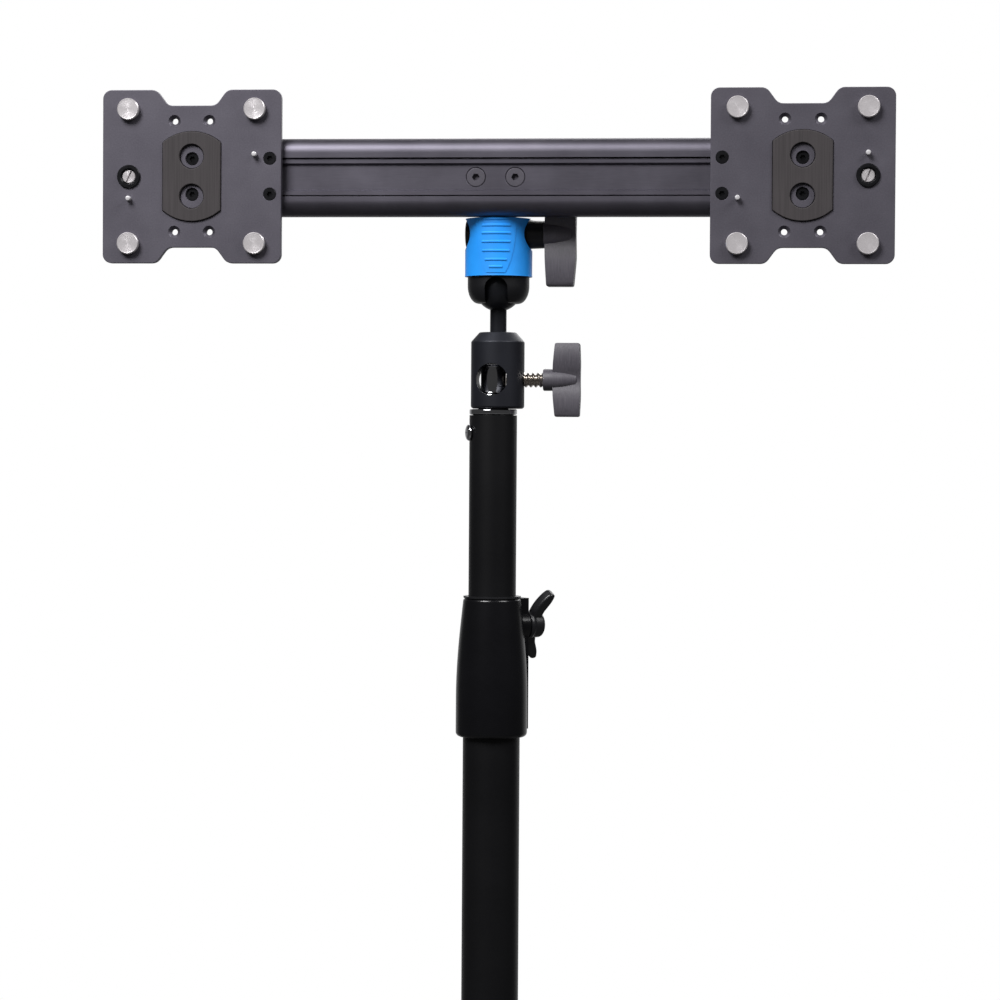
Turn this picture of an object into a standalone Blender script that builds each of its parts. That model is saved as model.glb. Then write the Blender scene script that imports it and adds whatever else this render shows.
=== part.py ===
"""Dual monitor stand: a folding three-legged base, a telescopic column, a ball head and a crossbar
with a quick-mount plate at each end.

Metres, +Z up. The front faces -Y, the floor is z = 0, and the origin lies on the floor under the
middle of the stand's bounding box, so the column stands a little behind it.
"""

import math

import bmesh
import bpy
from mathutils import Matrix, Vector

MM = 0.001

# Fits and facets
GAP = 0.3 * MM
COARSE = 8
MEDIUM = 12
FINE = 20
TOOL_PHASE = 0.25

# Base: three legs, each welded to a ring round the lower tube
LEG_REACH = 330 * MM
LEG_RADIUS = 11 * MM
LEG_WALL = 1.5 * MM
LEG_BEND_RADIUS = 38 * MM
LEG_BEND_STEPS = 3
LEG_LEVEL_END = 60 * MM
LEG_FOOT_START = 232 * MM
LEG_ANGLES = {"front": -90, "left": 150, "right": 30}
RING_RADIUS = 23 * MM
RING_HEIGHT = 26 * MM
RING_PLAY = 0.5 * MM
LOWEST_RING = 120 * MM
CLAMP_RING_HEIGHT = 20 * MM
CLAMP_SCREW_RADIUS = 3 * MM
CLAMP_SCREW_HEAD = 5 * MM
BOOT_RADIUS = 13.5 * MM
BOOT_LENGTH = 46 * MM
BOOT_WALL_END = 5 * MM
BOOT_CHAMFER = 2 * MM

# Column
TUBE_RADIUS = 15 * MM
TUBE_WALL = 1.5 * MM
TUBE_BELOW_RING = 4 * MM
PLUG_FLANGE = 3 * MM
PLUG_LENGTH = 16 * MM
COLLAR_BOTTOM = 530 * MM
COLLAR_HEIGHT = 74 * MM
COLLAR_GRIP = 42 * MM
COLLAR_TOP_RADIUS = 15.3 * MM
COLLAR_BELLY_RADIUS = 18.8 * MM
COLLAR_BELLY_DROP = 54 * MM
COLLAR_EDGE = 1.4 * MM
RISER_RADIUS = 12.5 * MM
RISER_WALL = 1.5 * MM
RISER_EXPOSED = 95 * MM
RISER_LENGTH = 430 * MM
BUSH_WALL = 0.8 * MM
BUSH_FLANGE_RADIUS = 15.2 * MM
BUSH_FLANGE = 1 * MM

# Collar knob, on the right and towards the back
WING_ANGLE = 35
WING_BELOW_TOP = 15.7 * MM
WING_TWIST = 30
WING_HALF_SPAN = 20 * MM
WING_SCREW_RADIUS = 3 * MM
WING_HUB_RADIUS = 6.5 * MM
WING_BOSS_RADIUS = 7.5 * MM
WING_BOSS_FACE = 20 * MM
WING_HUB_FACE = 26 * MM
WING_TIP_FACE = 30 * MM
WING_THICKNESS = 5 * MM

# Spigot and receiver
SPIGOT_RADIUS = 7.95 * MM
SPIGOT_WAIST_RADIUS = 6.65 * MM
SPIGOT_WAIST_HALF = 6.8 * MM
SPIGOT_SHANK = 25 * MM
SPIGOT_FLANGE = 2.9 * MM
SPIGOT_ABOVE_HOLE = 16.3 * MM
SPIGOT_SCREW_DROP = 9.2 * MM
SPIGOT_SCREW_ANGLE = 200
SPIGOT_SCREW_HEAD = 4.25 * MM
SPIGOT_SCREW_HEAD_HEIGHT = 1.9 * MM
SPIGOT_SCREW_RADIUS = 2 * MM
SPIGOT_SCREW_LENGTH = 8 * MM
RECEIVER_RADIUS = 14.05 * MM
RECEIVER_OFFSET = 2.2 * MM
RECEIVER_HEIGHT = 40 * MM
RECEIVER_TOP_RADIUS = 10.3 * MM
RECEIVER_TOP_CHAMFER = 5.2 * MM
RECEIVER_BORE_ROOM = 2 * MM
RECEIVER_BORE_PLAY = 0.3 * MM
CROSS_HOLE_RADIUS = 8.4 * MM
CROSS_HOLE_HEIGHT = 15.2 * MM

# T-screw of the receiver, and how deep a screw sits in its T-knob
KNOB_SCREW_DEPTH = 5 * MM
T_SCREW_RADIUS = 4 * MM
T_SCREW_CORE = 2.5 * MM
T_SCREW_END = 26.9 * MM
T_BOSS_RADIUS = 5.75 * MM
T_BOSS_LENGTH = 4.6 * MM
T_BAR_INNER = 31.5 * MM
T_BAR_OUTER = 46 * MM
T_BAR_HALF_LENGTH = 19.35 * MM
T_BAR_DEPTH = 11 * MM

# Ball head
STEM_OFFSET = 2.35 * MM
STEM_RADIUS = 4.35 * MM
STEM_THREAD_RADIUS = 3.9 * MM
BALL_RADIUS = 12.5 * MM
BALL_ABOVE_RECEIVER = 23.5 * MM
PAD_THICKNESS = 0.7 * MM
PAD_CAP_ANGLE = 17
CUP_THICKNESS = 1.2 * MM
CUP_CAP_ANGLE = 37
HOUSING_RADIUS = 16.2 * MM
HOUSING_TOP = 35.4 * MM
BULB_TOP = 0.8 * MM
MOUTH_RADIUS = 10.6 * MM
MOUTH_DROP = 8.4 * MM
MOUTH_LIP_TOP = -4.5 * MM
DOME_START_ANGLE = 60
SLOT_WIDTH = 12 * MM
SLOT_CENTRE = -1 * MM
LOCK_HEIGHT = 27.8 * MM
LOCK_SHAFT_RADIUS = 4 * MM
LOCK_BOSS_RADIUS = 7.5 * MM
LOCK_BOSS_TIP_RADIUS = 7.2 * MM
LOCK_BOSS_FACE = 23.6 * MM
LOCK_BOSS_STAND = 0.4 * MM
LOCK_CAP_RADIUS = 7.3 * MM
LOCK_CAP_THICKNESS = 0.6 * MM
LOCK_CAP_STUB = 3 * MM
PLUNGER_RADIUS = 5 * MM
SLEEVE_BOTTOM = 5.6 * MM
SLEEVE_WALL = 1.2 * MM
SLEEVE_TAPER = 0.4 * MM
SLEEVE_WINDOW_RADIUS = 8.8 * MM
LOCK_KNOB_BOSS_LENGTH = 4 * MM
LOCK_BAR_OUTER = 42.4 * MM
LOCK_BAR_HALF_LENGTH = 26.7 * MM
LOCK_BAR_DEPTH = 14 * MM
TOP_PLATE_RADIUS = 9 * MM
TOP_PLATE_HEIGHT = 2 * MM
STUD_RADIUS = 3 * MM
STUD_UP = 14 * MM
STUD_DOWN = 2.4 * MM

# Crossbar, whose front face is BAR_FRONT ahead of the ball's centre
BAR_HEIGHT = 40 * MM
BAR_DEPTH = 14.5 * MM
BAR_FRONT = 24 * MM
BAR_BOTTOM = 36 * MM
BAR_PAST_SCREWS = 14 * MM
BAR_EDGE_RADIUS = 3 * MM
WEB_HALF_HEIGHT = 7.2 * MM
WEB_RECESS = 2.5 * MM
CHANNEL_HALF_HEIGHT = 8.3 * MM
CHANNEL_DEPTH = 5 * MM
GROOVE_HEIGHT = 9.25 * MM
GROOVE_WIDTH = 1.6 * MM
GROOVE_DEPTH = 4 * MM
CHAMBER_INNER = 12.6 * MM
CHAMBER_OUTER = 18.2 * MM
CHAMBER_FRONT = 2.5 * MM
CHAMBER_BACK = 12 * MM
CAP_FLANGE = 2 * MM
CAP_PEG_LENGTH = 8 * MM
BAR_SCREW_SPACING = 20.4 * MM
BAR_SCREW_HEAD = 5 * MM
BAR_SCREW_RADIUS = 2.5 * MM
BAR_SCREW_LENGTH = 23 * MM
BAR_SCREW_KEY = 2 * MM
BLOCK_HALF_WIDTH = 16 * MM
BLOCK_BEHIND = 13 * MM
BLOCK_BELOW_TOP = 4 * MM

# Mount plates, the same part used twice, turned half round
PLATE_SPACING = 316 * MM
PLATE_WIDTH = 94 * MM
PLATE_HEIGHT = 90 * MM
PLATE_THICKNESS = 4 * MM
PLATE_CORNER_RADIUS = 5 * MM
NOTCH_DEPTH = 8.2 * MM
NOTCH_FLOOR = 22 * MM
NOTCH_MOUTH = 41.5 * MM
NOTCH_ROUND = 3 * MM
DISC_RADIUS = 5.85 * MM
DISC_HEIGHT = 3 * MM
DISC_STUB_RADIUS = 2.5 * MM
DISC_SPACING_X = 66.5 * MM
DISC_SPACING_Z = 69.6 * MM
EMPTY_HOLE_RADIUS = 1.6 * MM
EMPTY_HOLE_SINK = 3.2 * MM
EMPTY_SPACING_X = 18.3 * MM
EMPTY_SPACING_Z = 57.5 * MM
PAD_RADIUS = 23.3 * MM
PAD_HALF_WIDTH = 15.3 * MM
PAD_HEIGHT = 2.6 * MM
PAD_RECESS = 1.8 * MM
PAD_HOLE_RADIUS = 6.4 * MM
PAD_HOLE_SPACING = 20.7 * MM
PLATE_SCREW_HEAD = 3.3 * MM
PLATE_SCREW_RADIUS = 1.5 * MM
PLATE_SCREW_LENGTH = 8.5 * MM
PLATE_SCREW_KEY = 1.4 * MM
EDGE_SCREW_X = 41 * MM
CAPTIVE_X = 33.2 * MM
CAPTIVE_HEAD_RADIUS = 3.5 * MM
CAPTIVE_HEAD_HEIGHT = 3 * MM
CAPTIVE_RADIUS = 2 * MM
CAPTIVE_LENGTH = 10 * MM
CAPTIVE_SLOT = 0.9 * MM
CAPTIVE_SLOT_ANGLE = 66
COLLET_RADIUS = 6.1 * MM
COLLET_BARREL_RADIUS = 4.9 * MM
COLLET_FLANGE = 0.8 * MM
COLLET_LIP = 0.8 * MM
PIN_RADIUS = 1.3 * MM
PIN_HEIGHT = 4.5 * MM
PIN_X = 33.1 * MM
PIN_Z = 11.4 * MM

# Places worked out from the sizes above
BOOT_BACK = (LEG_REACH - BOOT_CHAMFER) / 2 + BOOT_RADIUS * math.cos(math.radians(30))
COLUMN_Y = (LEG_REACH - BOOT_BACK) / 2
RING_PITCH = RING_HEIGHT + RING_PLAY
CLAMP_BOTTOM = LOWEST_RING + 3 * RING_PITCH
TUBE_BOTTOM = LOWEST_RING - TUBE_BELOW_RING
COLLAR_TOP = COLLAR_BOTTOM + COLLAR_HEIGHT
TUBE_TOP = COLLAR_BOTTOM + COLLAR_GRIP
RISER_TOP = COLLAR_TOP + RISER_EXPOSED
RISER_BOTTOM = RISER_TOP - RISER_LENGTH
FLANGE_TOP = RISER_TOP + GAP + SPIGOT_FLANGE
RECEIVER_BOTTOM = FLANGE_TOP + GAP
RECEIVER_TOP = RECEIVER_BOTTOM + RECEIVER_HEIGHT
CROSS_HOLE_Z = RECEIVER_BOTTOM + CROSS_HOLE_HEIGHT
SPIGOT_TOP = CROSS_HOLE_Z + SPIGOT_ABOVE_HOLE
RECEIVER_BORE_TOP = SPIGOT_TOP + RECEIVER_BORE_ROOM
BALL = Vector((STEM_OFFSET, COLUMN_Y, RECEIVER_TOP + BALL_ABOVE_RECEIVER))
LOCK_Z = BALL.z + LOCK_HEIGHT
BAR_Z = BALL.z + BAR_BOTTOM + BAR_HEIGHT / 2
BAR_HALF_LENGTH = PLATE_SPACING / 2 + BAR_PAST_SCREWS
BAR_FACE_Y = COLUMN_Y - BAR_FRONT
BAR_BACK_Y = BAR_FACE_Y + BAR_DEPTH
WEB_FACE_Y = BAR_FACE_Y + WEB_RECESS
PLATE_BACK_Y = BAR_FACE_Y - GAP
PLATE_FACE_Y = PLATE_BACK_Y - PLATE_THICKNESS

# Finishes: colour as linear RGB, roughness, metallic
FINISHES = {
    "black_tube": ((0.006, 0.006, 0.007), 0.38, 0.0),
    "black_plastic": ((0.010, 0.010, 0.012), 0.30, 0.0),
    "satin_black": ((0.022, 0.023, 0.027), 0.42, 0.3),
    "anodised": ((0.085, 0.080, 0.092), 0.42, 0.7),
    "knob_plastic": ((0.045, 0.042, 0.048), 0.50, 0.0),
    "black_rubber": ((0.015, 0.015, 0.015), 0.80, 0.0),
    "friction_rubber": ((0.055, 0.046, 0.048), 0.85, 0.0),
    "blue_plastic": ((0.013, 0.270, 0.800), 0.45, 0.0),
    "chrome": ((0.75, 0.75, 0.77), 0.12, 1.0),
    "turned_steel": ((0.58, 0.56, 0.57), 0.30, 1.0),
    "black_steel": ((0.030, 0.030, 0.032), 0.35, 0.8),
    "brass": ((0.70, 0.48, 0.20), 0.30, 1.0),
    "grey_nylon": ((0.30, 0.30, 0.30), 0.60, 0.0),
}


def clear_scene():
    for item in list(bpy.data.objects):
        bpy.data.objects.remove(item, do_unlink=True)


def bore(radius, sides=FINE):
    """The corner radius of a faceted hole whose flats lie at the given radius."""
    return radius / math.cos(math.pi / sides)


def smooth(mesh):
    mesh.shade_smooth()
    mesh.set_sharp_from_angle(angle=math.radians(35))


def finish_object(name, bm):
    """Closes a bmesh into an object whose faces point out."""
    bmesh.ops.recalc_face_normals(bm, faces=bm.faces)
    mesh = bpy.data.meshes.new(name)
    bm.to_mesh(mesh)
    bm.free()
    smooth(mesh)
    obj = bpy.data.objects.new(name, mesh)
    bpy.context.scene.collection.objects.link(obj)
    return obj


def bridge(bm, low, high):
    """Faces between two rings of vertices; a ring of one vertex is a pole."""
    count = max(len(low), len(high))
    for i in range(count):
        j = (i + 1) % count
        corners = [low[i % len(low)], low[j % len(low)], high[j % len(high)], high[i % len(high)]]
        bm.faces.new(list(dict.fromkeys(corners)))


def ring_of(bm, radius, height, sides, phase):
    if radius == 0:
        return [bm.verts.new((0, 0, height))]
    angles = [2 * math.pi * (i + phase) / sides for i in range(sides)]
    return [bm.verts.new((radius * math.cos(a), radius * math.sin(a), height)) for a in angles]


def turned(name, profile, sides=FINE, phase=0.0):
    """A solid turned about Z from (radius, height) points, either from axis to axis or a closed ring."""
    bm = bmesh.new()
    rings = [ring_of(bm, radius, height, sides, phase) for radius, height in profile]
    pairs = list(zip(rings, rings[1:]))
    if profile[0][0] > 0:
        pairs.append((rings[-1], rings[0]))
    for low, high in pairs:
        bridge(bm, low, high)
    return finish_object(name, bm)


def prism(name, outline, low, high, along):
    """An outline pushed along one axis; its points are the other two coordinates, in X, Y, Z order."""
    bm = bmesh.new()

    def corner(u, v, w):
        return {"X": (w, u, v), "Y": (u, w, v), "Z": (u, v, w)}[along]

    rings = [[bm.verts.new(corner(u, v, w)) for u, v in outline] for w in (low, high)]
    for ring in rings:
        bm.faces.new(ring)
    bridge(bm, rings[0], rings[1])
    return finish_object(name, bm)


def rectangle(x0, y0, x1, y1):
    return [(x0, y0), (x1, y0), (x1, y1), (x0, y1)]


def arc(centre, radius, start, end, steps):
    """Points along an arc, angles in degrees."""
    angles = [math.radians(start + (end - start) * i / steps) for i in range(steps + 1)]
    return [(centre[0] + radius * math.cos(a), centre[1] + radius * math.sin(a)) for a in angles]


def place(obj, origin, direction=(0, 0, 1), across=None):
    """Puts an object's origin at a point, its Z along a direction and its X along another."""
    z_axis = Vector(direction).normalized()
    x_axis = Vector(across) if across else z_axis.orthogonal()
    if not across and abs(z_axis.z) > 0.99:
        x_axis = Vector((1, 0, 0))
    y_axis = z_axis.cross(x_axis).normalized()
    x_axis = y_axis.cross(z_axis)
    turn = Matrix((x_axis, y_axis, z_axis)).transposed().to_4x4()
    obj.matrix_world = Matrix.Translation(origin) @ turn
    return obj


def rod(radius, start, end, sides=MEDIUM):
    """A plain cylinder between two points, used as a tool for cuts and unions."""
    start, end = Vector(start), Vector(end)
    length = (end - start).length
    tool = turned("tool", [(0, 0), (radius, 0), (radius, length), (0, length)], sides, TOOL_PHASE)
    return place(tool, start, end - start)


def combine(obj, tools, operation):
    """Applies a Boolean of each tool to the object and removes the tools."""
    for tool in tools:
        bpy.context.view_layer.update()
        step = obj.modifiers.new("Join", "BOOLEAN")
        step.operation = operation
        step.solver = "EXACT"
        step.object = tool
        graph = bpy.context.evaluated_depsgraph_get()
        joined = bpy.data.meshes.new_from_object(obj.evaluated_get(graph), depsgraph=graph)
        obj.modifiers.clear()
        obj.data = joined
        bpy.data.objects.remove(tool, do_unlink=True)
    obj.data.name = obj.name
    smooth(obj.data)
    return obj


def cut(obj, *tools):
    return combine(obj, tools, "DIFFERENCE")


def weld(obj, *tools):
    return combine(obj, tools, "UNION")


def copy_of(obj, name):
    twin = bpy.data.objects.new(name, obj.data.copy())
    bpy.context.scene.collection.objects.link(twin)
    twin.matrix_world = obj.matrix_world.copy()
    return twin


def paint(obj, finish):
    """Gives the object its own material."""
    colour, roughness, metallic = FINISHES[finish]
    material = bpy.data.materials.new(f"{obj.name}_{finish}")
    material.use_nodes = True
    shader = material.node_tree.nodes["Principled BSDF"]
    shader.inputs["Base Color"].default_value = (*colour, 1.0)
    shader.inputs["Roughness"].default_value = roughness
    shader.inputs["Metallic"].default_value = metallic
    obj.data.materials.clear()
    obj.data.materials.append(material)
    return obj


def pivot(name, origin):
    """An empty that carries the pieces of one moving body."""
    empty = bpy.data.objects.new(name, None)
    empty.location = origin
    bpy.context.scene.collection.objects.link(empty)
    return empty


def carry(parent, *children):
    bpy.context.view_layer.update()
    for child in children:
        world = child.matrix_world.copy()
        child.parent = parent
        child.matrix_parent_inverse = parent.matrix_world.inverted()
        child.matrix_world = world


def countersunk_profile(head, shank, length, extra=0.0, above=0.0):
    """A 90 degree countersunk screw, head face at height 0 and shank downwards, or its larger hole."""
    cone = head - shank
    return [
        (0, above),
        (head + extra, above),
        (head + extra, 0),
        (shank + extra, -cone),
        (shank + extra, -length),
        (0, -length),
    ]


def key_socket(radius, depth, sides=6):
    return turned("tool", [(0, -depth), (radius, -depth), (radius, MM), (0, MM)], sides)


def on_column(x, y, z):
    """A point given from the column's axis."""
    return Vector((x, COLUMN_Y + y, z))


def on_head(x, y, z):
    """A point given from the ball's centre."""
    return BALL + Vector((x, y, z))


def bent_path(points, radius, steps):
    """A path through the points in the X-Z plane, its corners rounded."""
    path = [points[0]]
    for before, corner, after in zip(points, points[1:], points[2:]):
        into = (corner - before).normalized()
        out = (after - corner).normalized()
        half = into.angle(out) / 2
        reach = radius * math.tan(half)
        centre = corner + (out - into).normalized() * radius / math.cos(half)
        first = corner - into * reach - centre
        last = corner + out * reach - centre
        path += [centre + first.lerp(last, i / steps).normalized() * radius for i in range(steps + 1)]
    return path + [points[-1]]


def tube_rings(bm, path, radius, sides):
    """Rings of vertices square to a path in the X-Z plane."""
    rings = []
    for i, point in enumerate(path):
        before = path[max(i - 1, 0)]
        after = path[min(i + 1, len(path) - 1)]
        along = (after - before).normalized()
        up = Vector((-along.z, 0, along.x))
        side = Vector((0, 1, 0))
        angles = [2 * math.pi * k / sides for k in range(sides)]
        around = [math.cos(a) * up + math.sin(a) * side for a in angles]
        rings.append([bm.verts.new(point + radius * way) for way in around])
    return rings


def leg_tube(ring_z):
    """A bent tube along +X, closed at the ring and open in the foot."""
    floor = BOOT_RADIUS
    tip = LEG_REACH - BOOT_WALL_END - GAP
    inner_start = RING_RADIUS + 2 * LEG_WALL
    corners = [
        Vector((LEG_LEVEL_END, 0, ring_z)),
        Vector((LEG_FOOT_START, 0, floor)),
        Vector((tip, 0, floor)),
    ]
    root = Vector(((TUBE_RADIUS + RING_RADIUS) / 2, 0, ring_z))
    outer = bent_path([root] + corners, LEG_BEND_RADIUS, LEG_BEND_STEPS)
    inner = bent_path([Vector((inner_start, 0, ring_z))] + corners, LEG_BEND_RADIUS, LEG_BEND_STEPS)
    bm = bmesh.new()
    skin = tube_rings(bm, outer, LEG_RADIUS, MEDIUM)
    hollow = tube_rings(bm, inner, LEG_RADIUS - LEG_WALL, MEDIUM)
    for rings in (skin, hollow):
        bm.faces.new(rings[0])
        for low, high in zip(rings, rings[1:]):
            bridge(bm, low, high)
    bridge(bm, skin[-1], hollow[-1])
    return finish_object("tool", bm)


def make_leg(side, level):
    """One leg with its ring, and its rubber foot."""
    ring_low = LOWEST_RING + level * RING_PITCH
    ring_z = ring_low + RING_HEIGHT / 2
    hole = bore(TUBE_RADIUS + GAP)
    section = [
        (hole, -RING_HEIGHT / 2),
        (RING_RADIUS, -RING_HEIGHT / 2),
        (RING_RADIUS, RING_HEIGHT / 2),
        (hole, RING_HEIGHT / 2),
    ]
    leg = turned(f"{side}_leg", section)
    leg.location.z = ring_z
    weld(leg, leg_tube(ring_z))

    bore_radius = bore(LEG_RADIUS + GAP, MEDIUM)
    outside = bore(BOOT_RADIUS, MEDIUM)
    foot_profile = [
        (0, BOOT_LENGTH),
        (outside - BOOT_CHAMFER, BOOT_LENGTH),
        (outside, BOOT_LENGTH - BOOT_CHAMFER),
        (outside, BOOT_CHAMFER),
        (outside - BOOT_CHAMFER, 0),
        (bore_radius, 0),
        (bore_radius, BOOT_LENGTH - BOOT_WALL_END),
        (0, BOOT_LENGTH - BOOT_WALL_END),
    ]
    foot = turned(f"{side}_foot", foot_profile, MEDIUM, phase=0.5)
    place(foot, (LEG_REACH - BOOT_LENGTH, 0, BOOT_RADIUS), (1, 0, 0), (0, 0, 1))

    hinge = pivot(f"{side}_leg_hinge", (0, 0, 0))
    carry(hinge, paint(leg, "black_tube"), paint(foot, "black_rubber"))
    hinge.rotation_euler.z = math.radians(LEG_ANGLES[side])
    hinge.location = on_column(0, 0, 0)


def make_base():
    """Lower tube, its plug, the legs and the ring that clamps them down."""
    for level, side in enumerate(LEG_ANGLES):
        make_leg(side, level)

    inside = bore(TUBE_RADIUS - TUBE_WALL)
    tube = turned(
        "lower_tube",
        [(inside, TUBE_BOTTOM), (TUBE_RADIUS, TUBE_BOTTOM), (TUBE_RADIUS, TUBE_TOP), (inside, TUBE_TOP)],
    )
    tube.location.y = COLUMN_Y
    paint(tube, "black_tube")

    neck = TUBE_RADIUS - TUBE_WALL - GAP
    flange_low = TUBE_BOTTOM - GAP - PLUG_FLANGE
    plug = turned(
        "tube_bottom_plug",
        [
            (0, flange_low),
            (TUBE_RADIUS, flange_low),
            (TUBE_RADIUS, flange_low + PLUG_FLANGE),
            (neck, flange_low + PLUG_FLANGE),
            (neck, flange_low + PLUG_LENGTH),
            (0, flange_low + PLUG_LENGTH),
        ],
    )
    plug.location.y = COLUMN_Y
    paint(plug, "black_rubber")
    make_clamp_ring()


def make_clamp_ring():
    """A ring pinched on the tube by a cross screw from the front."""
    hole = bore(TUBE_RADIUS + GAP)
    top = CLAMP_BOTTOM + CLAMP_RING_HEIGHT
    ring = turned(
        "leg_clamp_ring",
        [(hole, CLAMP_BOTTOM), (RING_RADIUS, CLAMP_BOTTOM), (RING_RADIUS, top), (hole, top)],
    )
    ring.location.y = COLUMN_Y
    middle = CLAMP_BOTTOM + CLAMP_RING_HEIGHT / 2
    start = on_column(0, -TUBE_RADIUS - GAP, middle)
    outside = on_column(0, -RING_RADIUS - MM, middle)
    clearance = bore(CLAMP_SCREW_RADIUS + GAP, COARSE)
    cut(ring, rod(clearance, start + Vector((0, 2 * GAP, 0)), outside, COARSE))
    paint(ring, "satin_black")

    reach = RING_RADIUS - TUBE_RADIUS - GAP
    screw = turned(
        "leg_clamp_screw",
        [
            (0, 0),
            (CLAMP_SCREW_RADIUS, 0),
            (CLAMP_SCREW_RADIUS, reach + GAP),
            (CLAMP_SCREW_HEAD, reach + GAP),
            (CLAMP_SCREW_HEAD, reach + CLAMP_SCREW_HEAD),
            (0, reach + CLAMP_SCREW_HEAD),
        ],
        COARSE,
    )
    place(screw, start, (0, -1, 0))
    paint(screw, "black_steel")


def wing_direction():
    angle = math.radians(WING_ANGLE)
    return Vector((math.cos(angle), math.sin(angle), 0))


def collar_outline(lip):
    """The collar's outer points: a rounded foot, and a belly that narrows up to the lip."""
    belly = COLLAR_TOP - COLLAR_BELLY_DROP
    taper = COLLAR_BELLY_RADIUS - COLLAR_TOP_RADIUS
    points = [
        (COLLAR_BELLY_RADIUS - COLLAR_EDGE, COLLAR_BOTTOM),
        (COLLAR_BELLY_RADIUS, COLLAR_BOTTOM + COLLAR_EDGE),
    ]
    steps = 5
    for i in range(steps + 1):
        rise = i / steps
        radius = COLLAR_TOP_RADIUS + taper * math.cos(math.pi / 2 * rise)
        points.append((radius, belly + (lip - belly) * rise))
    return points


def make_collar():
    """The collar that joins lower tube and riser, and the bush that guides the riser in it."""
    tube_seat = bore(TUBE_RADIUS + GAP)
    bush_outer = RISER_RADIUS + GAP + BUSH_WALL
    bush_seat = bore(bush_outer + GAP)
    shoulder = TUBE_TOP + GAP
    lip = COLLAR_TOP - BUSH_FLANGE - GAP
    profile = collar_outline(lip)
    profile += [(bush_seat, lip), (bush_seat, shoulder), (tube_seat, shoulder), (tube_seat, COLLAR_BOTTOM)]
    collar = turned("riser_collar", profile)
    collar.location.y = COLUMN_Y

    way = wing_direction()
    knob_z = COLLAR_TOP - WING_BELOW_TOP
    centre = on_column(0, 0, knob_z)
    boss_start = RISER_RADIUS + GAP + BUSH_WALL + 2 * GAP
    weld(collar, rod(WING_BOSS_RADIUS, centre + way * boss_start, centre + way * WING_BOSS_FACE, MEDIUM))
    hole = bore(WING_SCREW_RADIUS + GAP, COARSE)
    cut(collar, rod(hole, centre, centre + way * (WING_BOSS_FACE + MM), COARSE))
    paint(collar, "black_plastic")

    inside = bore(RISER_RADIUS + GAP)
    bush = turned(
        "collar_bush",
        [
            (inside, shoulder),
            (bush_outer, shoulder),
            (bush_outer, COLLAR_TOP - BUSH_FLANGE),
            (BUSH_FLANGE_RADIUS, COLLAR_TOP - BUSH_FLANGE),
            (BUSH_FLANGE_RADIUS, COLLAR_TOP),
            (inside, COLLAR_TOP),
        ],
    )
    bush.location.y = COLUMN_Y
    cut(bush, rod(hole, centre, centre + way * WING_BOSS_FACE, COARSE))
    paint(bush, "grey_nylon")
    make_wing_knob(centre, way)


def make_wing_knob(centre, way):
    """A wing knob whose screw presses on the riser; its wings flare outwards."""
    tip = RISER_RADIUS + GAP
    base = WING_BOSS_FACE + GAP
    knob = turned(
        "collar_wing_knob",
        [
            (0, tip),
            (WING_SCREW_RADIUS, tip),
            (WING_SCREW_RADIUS, base),
            (WING_HUB_RADIUS, base),
            (WING_HUB_RADIUS, WING_HUB_FACE - MM),
            (WING_HUB_RADIUS - MM, WING_HUB_FACE),
            (0, WING_HUB_FACE),
        ],
        MEDIUM,
    )
    span, flare = WING_HALF_SPAN, WING_TIP_FACE
    half = [
        (0, base + MM),
        (WING_HUB_RADIUS - MM, base + MM),
        (span - 3 * MM, flare - 7 * MM),
        (span, flare - 2 * MM),
        (span - 2 * MM, flare),
        (WING_HUB_RADIUS + 2 * MM, WING_HUB_FACE),
    ]
    outline = half + [(-x, z) for x, z in reversed(half[1:])]
    wings = prism("tool", outline, -WING_THICKNESS / 2, WING_THICKNESS / 2, "Y")
    weld(knob, wings)
    twist = math.radians(WING_TWIST)
    aside = Vector((way.y, -way.x, 0))
    place(knob, centre, way, math.cos(twist) * Vector((0, 0, 1)) + math.sin(twist) * aside)
    paint(knob, "black_plastic")


def screw_direction():
    angle = math.radians(SPIGOT_SCREW_ANGLE)
    return Vector((math.cos(angle), math.sin(angle), 0))


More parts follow.
